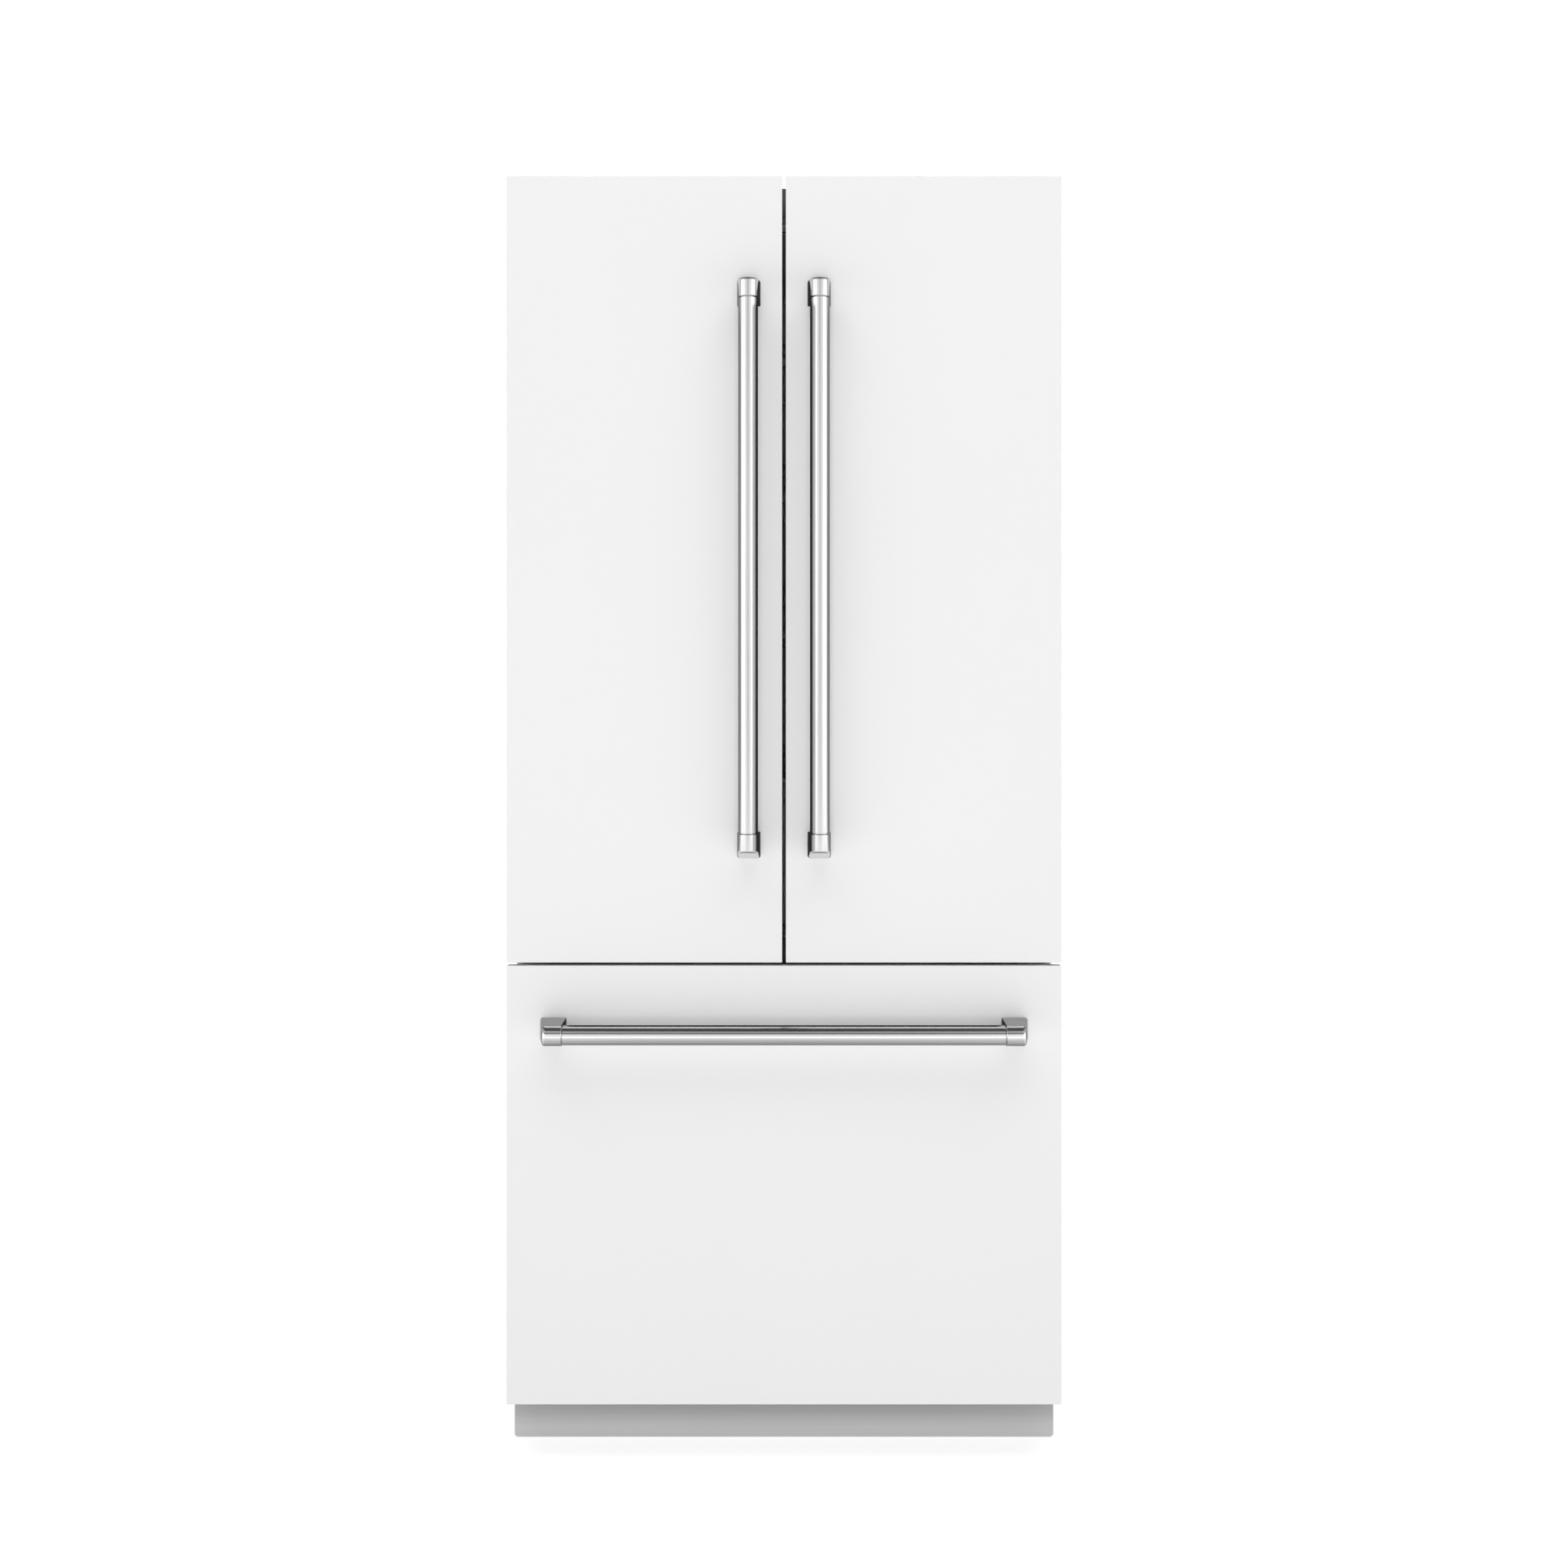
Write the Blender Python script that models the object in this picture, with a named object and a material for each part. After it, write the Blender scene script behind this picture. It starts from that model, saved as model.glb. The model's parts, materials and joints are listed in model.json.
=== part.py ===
"""A built-in refrigerator with two French doors over a freezer drawer, as separate pieces at real size.

Units are metres. X runs across the front, Y from the front to the back and Z up. The origin is on the
floor, under the middle of the whole outline. Depths are measured back from the face of the front panels.
"""

import math

import bmesh
import bpy
from mathutils import Matrix, Vector

# Overall
WIDTH = 0.908  # across the front panels
CABINET_HEIGHT = 2.110  # floor to the top of the cabinet
DEPTH = 0.610  # face of the front panels to the back of the cabinet
FIT = 0.0003  # gap between pieces that touch
RUNNING_GAP = 0.0005  # around a turning pin

# Front panels and the gaps between them
PANEL_THICK = 0.019
TOE_HEIGHT = 0.090  # floor to the drawer panel
DRAWER_HEIGHT = 0.718
ROW_GAP = 0.005  # drawer panel to door panels
DOOR_GAP = 0.006  # left door panel to right door panel
TOP_REVEAL = 0.010  # cabinet above the door panels

# Doors behind their panels
DOOR_THICK = 0.075  # panel face to the flat of the door's liner
BODY_INSET = 0.005  # door body inside its panel, left and right
BODY_DROP = 0.007  # door body inside its panel, at the bottom of a door and both ends of the drawer
HINGE_ROOM = 0.010  # door body below the top of its panel
GASKET_THICK = 0.0117
GASKET_WIDTH = 0.018
GASKET_INSET = 0.012  # gasket inside the door body
FACE_GAP = 0.001  # gasket to the cabinet's face
DYKE_DEPTH = 0.040  # raised rim of a door's liner
DYKE_WALL = 0.020
DYKE_CENTRE = 0.060  # rim's inner side from the middle of the cabinet
DYKE_GAP = 0.010  # rim to the cabinet's liner
DYKE_RECESS = 0.013  # the liner's floor inside the rim, below its flat

# Cabinet
CABINET_INSET = 0.0095  # cabinet side inside the panels' edge
SHEET = 0.0012  # wrapper and back
FRAME_THICK = 0.002
BACK_RIB = 0.004
RIB_COUNT = 4
RIB_HALF_WIDTH = 0.030
RIB_END_GAP = 0.080
CABINET_BOTTOM = 0.092
SIDE_WALL = 0.0455
TOP_WALL = 0.050
FRIDGE_REAR_WALL = 0.0485
FREEZER_SIDE_WALL = 0.0505
FREEZER_REAR_WALL = 0.0595
FREEZER_FLOOR = 0.150
DIVIDER_BOTTOM = 0.778  # rail between the freezer and the fridge
DIVIDER_HEIGHT = 0.065
MACHINE_ROOM_DEPTH = 0.185
MACHINE_ROOM_TOP = 0.322
MACHINE_ROOM_WALL = 0.018
STEP_WALL = 0.0415  # insulation between the machine room and the freezer
STEP_ROOF = 0.048

# Base
TOE_RECESS = 0.076
TOE_SHEET = 0.003
TOE_CLEARANCE = 0.002  # floor to the toe plate
TOE_CHAMFER = 0.004
BASE_RAIL_HEIGHT = 0.031
BASE_RAIL_WIDTH = 0.040
TRAY_THICK = 0.004
FOOT_RADIUS = 0.022
FOOT_HEIGHT = 0.010
STEM_RADIUS = 0.0055
STEM_DROP = 0.004  # stem's end below the top of the base
ROLLER_RADIUS = 0.022
ROLLER_WIDTH = 0.030
ROLLER_SETBACK = 0.045  # roller axle to the back of the base
AXLE_RADIUS = 0.004
ROLLER_BRACKET = 0.003

# Hinges
PIVOT_INSET = 0.022  # door pin inside the panel's outer edge
PIVOT_DEPTH = 0.040
PIN_RADIUS = 0.005
PIN_REACH = 0.020  # pin inside the door body
PIN_END_GAP = 0.005  # hole past the pin's end
HINGE_GAP = 0.003  # hinge above the door body and under the cabinet's top
HINGE_PLATE = 0.004
HINGE_FLANGE = 0.003
HINGE_WIDTH = 0.050
HINGE_EDGE_INSET = 0.0015  # hinge inside the cabinet's side, clear of the open door's panel
HINGE_FLANGE_HEIGHT = 0.033

# Handles
BAR_RADIUS = 0.015875
BAR_STANDOFF = 0.050  # panel face to the bar's axis
POST_RADIUS = 0.017  # rounded front of a post
POST_FLARE = 0.002  # extra half width where a post meets the panel
POST_FRONT_LENGTH = 0.0295
POST_BASE_LENGTH = 0.043
POST_EDGE = 0.004  # rounding of a post's outer end
DOOR_HANDLE_LENGTH = 0.945
DOOR_HANDLE_OFFSET = 0.0576  # from the middle of the cabinet
DRAWER_HANDLE_LENGTH = 0.797
DRAWER_HANDLE_DROP = 0.1037  # below the drawer panel's top edge

# Folding mullion on the left door
MULLION_WIDTH = 0.056
MULLION_THICK = 0.018
MULLION_GAP = 0.007  # to the floor and the ceiling of the fridge
MULLION_PIN_RADIUS = 0.003
MULLION_LUG_HEIGHT = 0.012
MULLION_LUG_SETBACK = 0.150  # lug to the end of the mullion
MULLION_SLOT_GAP = 0.002  # around a lug in the mullion's slot

# Fridge interior
BIN_SHELF_GAP = 0.015  # shelf fronts behind the door bins
SHELF_REAR_GAP = 0.031  # to the liner's back wall, past the air duct
SHELF_THICK = 0.008
SHELF_LEVELS = {"shelf_bottom": 1.360, "shelf_middle": 1.600, "shelf_top": 1.840}
CRISPER_SHELF_LEVEL = 1.100
LEDGE_WIDTH = 0.012
LEDGE_HEIGHT = 0.008
CRISPER_SETBACK = 0.060  # crisper behind the shelf fronts
CRISPER_REAR_GAP = 0.008
CRISPER_WALL = 0.003
CRISPER_FLOOR_GAP = 0.007
CRISPER_RIM_DROP = 0.025  # rim below the crisper shelf
CRISPER_FLANGE = 0.004
CRISPER_SIDE_GAP = 0.021  # crisper to the liner
CRISPER_CENTRE_GAP = 0.018  # crisper to the middle
CRISPER_LIP = 0.012
CRISPER_LIP_HEIGHT = 0.008
RUNNER_HEIGHT = 0.007
RUNNER_WIDTH = 0.015
DUCT_HALF_WIDTH = 0.090
DUCT_DEPTH = 0.026
DUCT_WALL = 0.003
VENT_RISES = (0.070, 0.090, 0.110)  # vents above each shelf
VENT_HEIGHT = 0.008
DUCT_END_GAP = 0.022  # to the crisper shelf and the ceiling

# Door bins
BIN_DEPTH = 0.117
BIN_HEIGHT = 0.100
BIN_WALL = 0.0025
BIN_SIDE_GAP = 0.001
BIN_LEVELS = {"bin_left_lower": 1.150, "bin_left_middle": 1.450, "bin_left_upper": 1.750}
RIGHT_BIN_LEVELS = {"bin_right_lower": 1.150, "dairy_bin": 1.700}
LID_THICK = 0.004
LID_PIN_RADIUS = 0.002
LID_PIN_SETBACK = 0.022  # lid pin in front of the bin's door side
LID_EAR = 0.010

# Freezer
RAIL_REAR_GAP = 0.063  # rails to the freezer's back wall
RAIL_FRONT_GAP = 0.010  # rails behind the cabinet's front frame
RAIL_LEVEL = 0.405
RAIL_HEIGHT = 0.040
RAIL_SHEET = 0.0022
MIDDLE_RAIL_WIDTH = 0.0045
MIDDLE_RAIL_HEIGHT = 0.030
INNER_RAIL_WIDTH = 0.0075
INNER_RAIL_HEIGHT = 0.020
TIE_DEPTH = 0.010  # bar between the rear ends of the inner rails
TIE_HEIGHT = 0.008
FRAME_PLATE_DROP = 0.105  # drawer frame's plate below the rails' middle
BASKET_SIDE_GAP = 0.0185  # basket to the inner rail
BASKET_BOTTOM_GAP = 0.015
BASKET_TOP = 0.520
BASKET_REAR_GAP = 0.0108  # basket to the step over the machine room
BASKET_FRONT_GAP = 0.0297  # to the drawer frame's plate
BASKET_WALL = 0.003
TRAY_HEIGHT = 0.080
TRAY_FRONT_GAP = 0.002  # tray behind the basket's front
TRAY_REAR_GAP = 0.048  # tray in front of the basket's rear
ICE_MAKER_SIZE = (0.185, 0.178, 0.1177)
ICE_MAKER_SIDE_GAP = 0.009
ICE_MAKER_REAR_GAP = 0.014
ICE_CHUTE_SIZE = (0.145, 0.050, 0.040)
COVER_GAP = 0.053  # evaporator cover to the freezer's back wall
COVER_THICK = 0.003
COVER_SLOTS = 7
COVER_SLOT_PITCH = 0.090
COVER_SLOT_LENGTH = 0.060
COVER_SLOT_HEIGHT = 0.008
FREEZER_FAN_RADIUS = 0.045
FREEZER_FAN_DROP = 0.098  # fan axis below the freezer's ceiling
EVAPORATOR_HALF_WIDTH = 0.220
EVAPORATOR_HEIGHT = 0.200
EVAPORATOR_DEPTH = 0.042
EVAPORATOR_FINS = 14
EVAPORATOR_LIFT = 0.020  # evaporator above the step
FIN_END = 0.010  # solid end of a finned block
GROOVE_SHARE = 0.6  # how deep the evaporator's grooves are

# Machine room
COMPRESSOR_X = -0.270
COMPRESSOR_RADIUS = 0.064
COMPRESSOR_HEIGHT = 0.170
COMPRESSOR_LIFT = 0.014  # can above the tray
COMPRESSOR_PLATE_HALF = (0.090, 0.055)
COMPRESSOR_PLATE_THICK = 0.004
COMPRESSOR_FOOT_SPREAD = (0.078, 0.043)
COMPRESSOR_FOOT_RADIUS = 0.009
CONDENSER_X = (0.060, 0.240)
CONDENSER_HEIGHT = 0.150
CONDENSER_DEPTH = 0.120
CONDENSER_FINS = 10
CONDENSER_SLOT_SHARE = 0.4  # how deep its grooves are from each side
CONDENSER_FAN_RADIUS = 0.055
SHROUD_GAP = 0.040  # fan shroud beside the condenser
SHROUD_THICK = 0.003
SHROUD_BRIDGE = 0.004
LOUVRE_ROWS = 6
LOUVRE_PITCH = 0.026
LOUVRE_SLOT = 0.010
LOUVRE_LIFT = 0.040  # lowest louvre above the cabinet's bottom
LOUVRE_STARTS = (-0.280, 0.020)
LOUVRE_LENGTH = 0.240
GLAND_X = 0.320
GLAND_LEVEL = 0.120
GLAND_RADIUS = 0.011
CORD_HOLE_RADIUS = 0.0045

# Fans
BLADE_COUNT = 5
BLADE_THICK = 0.0016
BLADE_PITCH = 40  # degrees
SHAFT_RADIUS = 0.003
MOTOR_GAP = 0.002  # motor behind the hub
MOTOR_DEPTH = 0.012
ARM_WIDTH = 0.010
ARM_THICK = 0.004
FAN_TIP_GAP = 0.002
CUT_PAST = 0.010  # how far a cutter runs past what it cuts

PIN_SIDES = 16
ROUND_SIDES = 32

# Places worked out from the sizes above. The handles' front and the back ribs are equally far from Y = 0.
POST_FRONT = BAR_STANDOFF + POST_RADIUS + FIT
PANEL_FACE_Y = (POST_FRONT - DEPTH) / 2
HALF_WIDTH = WIDTH / 2
CABINET_HALF = HALF_WIDTH - CABINET_INSET
DRAWER_TOP = TOE_HEIGHT + DRAWER_HEIGHT
DOOR_BOTTOM = DRAWER_TOP + ROW_GAP
DOOR_TOP = CABINET_HEIGHT - TOP_REVEAL
BODY_TOP = DOOR_TOP - HINGE_ROOM
BODY_BOTTOM = DOOR_BOTTOM + BODY_DROP
GASKET_FRONT = DOOR_THICK + FIT
CABINET_FACE = GASKET_FRONT + GASKET_THICK + FACE_GAP
FRAME_BACK = CABINET_FACE + FRAME_THICK
BACK_SHEET_DEPTH = DEPTH - BACK_RIB - SHEET
FOAM_BACK = BACK_SHEET_DEPTH - FIT
FRIDGE_HALF = CABINET_HALF - SIDE_WALL
FRIDGE_FLOOR = DIVIDER_BOTTOM + DIVIDER_HEIGHT
FRIDGE_CEILING = CABINET_HEIGHT - TOP_WALL
FRIDGE_REAR = FOAM_BACK - FRIDGE_REAR_WALL
FREEZER_HALF = CABINET_HALF - FREEZER_SIDE_WALL
FREEZER_REAR = FOAM_BACK - FREEZER_REAR_WALL
MACHINE_FRONT = FOAM_BACK - MACHINE_ROOM_DEPTH
STEP_FRONT = MACHINE_FRONT - STEP_WALL
STEP_TOP = MACHINE_ROOM_TOP + STEP_ROOF
BASE_BOTTOM = CABINET_BOTTOM - FIT - BASE_RAIL_HEIGHT
BIN_FRONT = DOOR_THICK - DYKE_RECESS + BIN_SIDE_GAP
SHELF_FRONT = BIN_FRONT + BIN_DEPTH + BIN_SHELF_GAP
SHELF_REAR = FRIDGE_REAR - SHELF_REAR_GAP
CRISPER_FRONT = SHELF_FRONT + CRISPER_SETBACK
PIVOT_X = HALF_WIDTH - PIVOT_INSET
DYKE_OUT = (DYKE_CENTRE, FRIDGE_HALF - DYKE_GAP)
DYKE_LEVELS = (FRIDGE_FLOOR + 1.5 * DYKE_GAP, FRIDGE_CEILING - 1.5 * DYKE_GAP)
MULLION_DEPTH = CABINET_FACE + FIT + MULLION_THICK / 2
MULLION_PIVOT_X = -(MULLION_WIDTH - MULLION_THICK) / 2
RAIL_REAR = FREEZER_REAR - RAIL_REAR_GAP
BASKET_FRONT = GASKET_FRONT + RAIL_SHEET + BASKET_FRONT_GAP
BASKET_REAR = STEP_FRONT - BASKET_REAR_GAP
COVER_DEPTH = FREEZER_REAR - COVER_GAP
INNER_RAIL_OUT = FREEZER_HALF - FIT - RAIL_SHEET - FIT - MIDDLE_RAIL_WIDTH - FIT
BASKET_HALF = INNER_RAIL_OUT - INNER_RAIL_WIDTH - BASKET_SIDE_GAP
ROLLER_DEPTH = FOAM_BACK - ROLLER_SETBACK


# Shapes. Each returns a closed bmesh with its faces pointing out.


def at(x, depth, z):
    return Vector((x, depth + PANEL_FACE_Y, z))


def box(x, depth, z):
    """A block between the two values given on each axis, in either order."""
    shape = bmesh.new()
    bmesh.ops.create_cube(shape, size=1)
    low = at(min(x), min(depth), min(z))
    high = at(max(x), max(depth), max(z))
    size = high - low
    for vertex in shape.verts:
        vertex.co = (low + high) / 2 + Vector(a * b for a, b in zip(vertex.co, size))
    return shape


def prism(outline, axis, span):
    """An outline drawn on the two other axes, in X, depth, Z order, and extruded along this one."""
    place = {
        "x": lambda a, b, along: at(along, a, b),
        "depth": lambda a, b, along: at(a, along, b),
        "z": lambda a, b, along: at(a, b, along),
    }[axis]
    shape = bmesh.new()
    rings = [[shape.verts.new(place(a, b, along)) for a, b in outline] for along in span]
    return close_rings(shape, rings)


def close_rings(shape, rings):
    """Joins rings of vertices in order and caps the first and the last."""
    shape.faces.new(rings[0])
    shape.faces.new(rings[-1])
    for first, second in zip(rings, rings[1:]):
        for i in range(len(first)):
            shape.faces.new((first[i - 1], first[i], second[i], second[i - 1]))
    bmesh.ops.recalc_face_normals(shape, faces=shape.faces)
    return shape


def circle(centre, radius, sides, start=0.0):
    turns = (start + 2 * math.pi * i / sides for i in range(sides))
    return [(centre[0] + radius * math.cos(turn), centre[1] + radius * math.sin(turn)) for turn in turns]


def cylinder(axis, centre, radius, span, sides=PIN_SIDES):
    return prism(circle(centre, radius, sides), axis, span)


def turned(profile, centre, sides=ROUND_SIDES):
    """A profile of (radius, height) pairs turned about a vertical axis."""
    shape = bmesh.new()
    rings = []
    for radius, height in profile:
        points = circle(centre, radius, sides)
        rings.append([shape.verts.new(at(x, depth, height)) for x, depth in points])
    return close_rings(shape, rings)


def moved(shape, matrix):
    bmesh.ops.transform(shape, matrix=matrix, verts=shape.verts)
    return shape


# Objects


def make_look(name, colour, roughness, metallic=0.0, alpha=1.0):
    look = bpy.data.materials.new(name)
    look.use_nodes = True
    shader = look.node_tree.nodes["Principled BSDF"]
    shader.inputs["Base Color"].default_value = (*colour, 1.0)
    shader.inputs["Roughness"].default_value = roughness
    shader.inputs["Metallic"].default_value = metallic
    shader.inputs["Alpha"].default_value = alpha
    return look


def make_object(name, shape):
    mesh = bpy.data.meshes.new(name)
    shape.to_mesh(mesh)
    shape.free()
    made = bpy.data.objects.new(name, mesh)
    bpy.context.scene.collection.objects.link(made)
    return made


def combine(piece, operation, shapes):
    for index, shape in enumerate(shapes):
        helper = make_object(f"{piece.name}_{operation.lower()}_{index}", shape)
        helper.hide_render = True
        helper.display_type = "WIRE"
        boolean = piece.modifiers.new(helper.name, "BOOLEAN")
        boolean.operation = operation
        boolean.object = helper


def solid(name, look, shapes, cuts=(), smooth=False):
    """One sub-part: the first shape, joined with the others, less the cuts."""
    piece = make_object(name, shapes[0])
    piece.data.materials.append(look)
    if smooth:
        piece.data.shade_smooth()
        piece.data.set_sharp_from_angle(angle=math.radians(35))
    combine(piece, "UNION", shapes[1:])
    combine(piece, "DIFFERENCE", cuts)
    return piece


def pivot(name, point, pieces, parent=None):
    """An empty on a joint's axis that carries the pieces of one moving body."""
    empty = bpy.data.objects.new(name, None)
    bpy.context.scene.collection.objects.link(empty)
    empty.location = point
    empty["axis_point"] = list(point)
    if parent:
        empty.parent = parent
        empty.location = point - Vector(parent["axis_point"])
    for piece in pieces:
        piece.parent = empty
        piece.location = -point
    return empty


def make_looks():
    return {
        "panel": make_look("panel_paint", (0.86, 0.86, 0.86), 0.55),
        "steel": make_look("brushed_steel", (0.62, 0.62, 0.62), 0.28, 1.0),
        "toe": make_look("toe_paint", (0.55, 0.55, 0.56), 0.45, 0.6),
        "wrapper": make_look("grey_sheet", (0.42, 0.43, 0.44), 0.45, 0.7),
        "galvanised": make_look("galvanised_sheet", (0.58, 0.59, 0.60), 0.42, 0.9),
        "liner": make_look("white_liner", (0.88, 0.89, 0.90), 0.35),
        "gasket": make_look("grey_gasket", (0.20, 0.20, 0.21), 0.70),
        "black": make_look("black_enamel", (0.02, 0.02, 0.02), 0.40),
        "zinc": make_look("zinc_plate", (0.66, 0.66, 0.64), 0.35, 1.0),
        "fins": make_look("aluminium_fins", (0.75, 0.76, 0.77), 0.40, 1.0),
        "glass": make_look("shelf_glass", (0.80, 0.90, 0.88), 0.05, 0.0, 0.4),
        "clear": make_look("clear_plastic", (0.85, 0.89, 0.92), 0.15, 0.0, 0.5),
        "basket": make_look("basket_plastic", (0.72, 0.76, 0.80), 0.35),
        "nylon": make_look("dark_nylon", (0.06, 0.06, 0.07), 0.55),
        "fan": make_look("fan_plastic", (0.10, 0.10, 0.11), 0.50),
    }


# Cabinet


def make_cabinet(looks):
    half = CABINET_HALF
    top = CABINET_HEIGHT
    inner_half = half - SHEET
    inner_top = top - SHEET
    shell = [
        (-half, CABINET_BOTTOM),
        (-half, top),
        (half, top),
        (half, CABINET_BOTTOM),
        (inner_half, CABINET_BOTTOM),
        (inner_half, inner_top),
        (-inner_half, inner_top),
        (-inner_half, CABINET_BOTTOM),
    ]
    solid("cabinet_wrapper", looks["wrapper"], [prism(shell, "depth", (FRAME_BACK + FIT, FOAM_BACK))])

    opening_fridge = box(
        (-FRIDGE_HALF, FRIDGE_HALF), (0, FRAME_BACK + DYKE_GAP), (FRIDGE_FLOOR, FRIDGE_CEILING)
    )
    opening_freezer = box(
        (-FREEZER_HALF, FREEZER_HALF), (0, FRAME_BACK + DYKE_GAP), (FREEZER_FLOOR, DIVIDER_BOTTOM)
    )
    face = box((-half, half), (CABINET_FACE, FRAME_BACK), (CABINET_BOTTOM, top))
    solid("front_frame", looks["galvanised"], [face], [opening_fridge, opening_freezer])

    ribs = []
    rib_levels = (MACHINE_ROOM_TOP + RIB_END_GAP, top - RIB_END_GAP)
    for index in range(RIB_COUNT):
        centre = half * (2 * index + 1 - RIB_COUNT) / RIB_COUNT
        across = (centre - RIB_HALF_WIDTH, centre + RIB_HALF_WIDTH)
        ribs.append(box(across, (BACK_SHEET_DEPTH + SHEET / 2, DEPTH), rib_levels))
    sheet = box(
        (-half, half), (BACK_SHEET_DEPTH, BACK_SHEET_DEPTH + SHEET), (MACHINE_ROOM_TOP + FIT, top)
    )
    solid("cabinet_back", looks["galvanised"], [sheet, *ribs])


def make_insulated_body(looks):
    half = CABINET_HALF - SHEET - FIT
    front = FRAME_BACK + FIT
    profile = [
        (front, CABINET_BOTTOM),
        (FOAM_BACK, CABINET_BOTTOM),
        (FOAM_BACK, CABINET_HEIGHT - SHEET - FIT),
        (front, CABINET_HEIGHT - SHEET - FIT),
    ]
    foam = prism(profile, "x", (-half, half))
    machine_half = half - MACHINE_ROOM_WALL
    machine_room = box(
        (-machine_half, machine_half), (MACHINE_FRONT, DEPTH), (0, MACHINE_ROOM_TOP)
    )
    fridge_room = box((-FRIDGE_HALF, FRIDGE_HALF), (0, FRIDGE_REAR), (FRIDGE_FLOOR, FRIDGE_CEILING))
    freezer_profile = [
        (0, FREEZER_FLOOR),
        (STEP_FRONT, FREEZER_FLOOR),
        (STEP_FRONT, STEP_TOP),
        (FREEZER_REAR, STEP_TOP),
        (FREEZER_REAR, DIVIDER_BOTTOM),
        (0, DIVIDER_BOTTOM),
    ]
    freezer_room = prism(freezer_profile, "x", (-FREEZER_HALF, FREEZER_HALF))
    body = solid("insulated_body", looks["liner"], [foam], [machine_room, fridge_room, freezer_room])

    ledges = []
    runner_top = crisper_rim() - CRISPER_FLANGE - FIT
    for side in (-1, 1):
        wall = side * (FRIDGE_HALF + LEDGE_WIDTH / 2)
        for level in (CRISPER_SHELF_LEVEL, *SHELF_LEVELS.values()):
            ledges.append(
                box(
                    (side * (FRIDGE_HALF - LEDGE_WIDTH), wall),
                    (SHELF_FRONT + LEDGE_WIDTH, SHELF_REAR),
                    (level - FIT - LEDGE_HEIGHT, level - FIT),
                )
            )
        ledges.append(
            box(
                (side * (FRIDGE_HALF - RUNNER_WIDTH), wall),
                (CRISPER_FRONT, FRIDGE_REAR - CRISPER_REAR_GAP),
                (runner_top - RUNNER_HEIGHT, runner_top),
            )
        )
    combine(body, "UNION", ledges)


# Base, feet and rollers


def make_base(looks):
    half = CABINET_HALF
    front = FRAME_BACK + FIT
    levels = (BASE_BOTTOM, CABINET_BOTTOM - FIT)
    inner_half = half - BASE_RAIL_WIDTH
    middle = BASE_RAIL_WIDTH / 2
    ring = box((-half, half), (front, FOAM_BACK), levels)
    hole = box(
        (-inner_half, inner_half),
        (front + BASE_RAIL_WIDTH, FOAM_BACK - BASE_RAIL_WIDTH / 3),
        (0, CABINET_HEIGHT),
    )
    tray = box(
        (-inner_half - middle, inner_half + middle),
        (MACHINE_FRONT - middle, FOAM_BACK - BASE_RAIL_WIDTH / 6),
        (BASE_BOTTOM, BASE_BOTTOM + TRAY_THICK),
    )
    roller_x = half - BASE_RAIL_WIDTH
    brackets = []
    for side in (-1, 1):
        for offset in (-1, 1):
            inside = roller_x + offset * (ROLLER_WIDTH / 2 + 2 * ROLLER_BRACKET)
            brackets.append(
                box(
                    (side * inside, side * (inside + ROLLER_BRACKET)),
                    (ROLLER_DEPTH - 3 * AXLE_RADIUS, ROLLER_DEPTH + 3 * AXLE_RADIUS),
                    (ROLLER_RADIUS - 2.5 * AXLE_RADIUS, BASE_BOTTOM + TRAY_THICK / 2),
                )
            )
    base = solid("base_frame", looks["galvanised"], [ring], [hole])
    combine(base, "UNION", [tray, *brackets])

    axle_centre = (ROLLER_DEPTH, ROLLER_RADIUS)
    cuts = [cylinder("x", axle_centre, AXLE_RADIUS + RUNNING_GAP, (-half, half))]
    foot_x = half - BASE_RAIL_WIDTH / 2
    foot_depth = front + BASE_RAIL_WIDTH / 2
    for side, name in ((-1, "front_foot_left"), (1, "front_foot_right")):
        centre = (side * foot_x, foot_depth)
        cuts.append(cylinder("z", centre, STEM_RADIUS + RUNNING_GAP, (0, CABINET_HEIGHT)))
        disc = cylinder("z", centre, FOOT_RADIUS, (0, FOOT_HEIGHT), ROUND_SIDES)
        stem = cylinder("z", centre, STEM_RADIUS, (FOOT_HEIGHT / 2, levels[1] - STEM_DROP))
        solid(name, looks["zinc"], [disc, stem], smooth=True)
    combine(base, "DIFFERENCE", cuts)

    axle_end = roller_x + ROLLER_WIDTH / 2 + 4 * ROLLER_BRACKET
    axle = cylinder("x", axle_centre, AXLE_RADIUS, (-axle_end, axle_end))
    rollers = []
    for side in (-1, 1):
        span = (side * (roller_x - ROLLER_WIDTH / 2), side * (roller_x + ROLLER_WIDTH / 2))
        rollers.append(cylinder("x", axle_centre, ROLLER_RADIUS, span, ROUND_SIDES))
    rear_rollers = solid("rear_rollers", looks["nylon"], [axle, *rollers], smooth=True)
    pivot("rear_roller_axis", at(0, *axle_centre), [rear_rollers])


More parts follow.
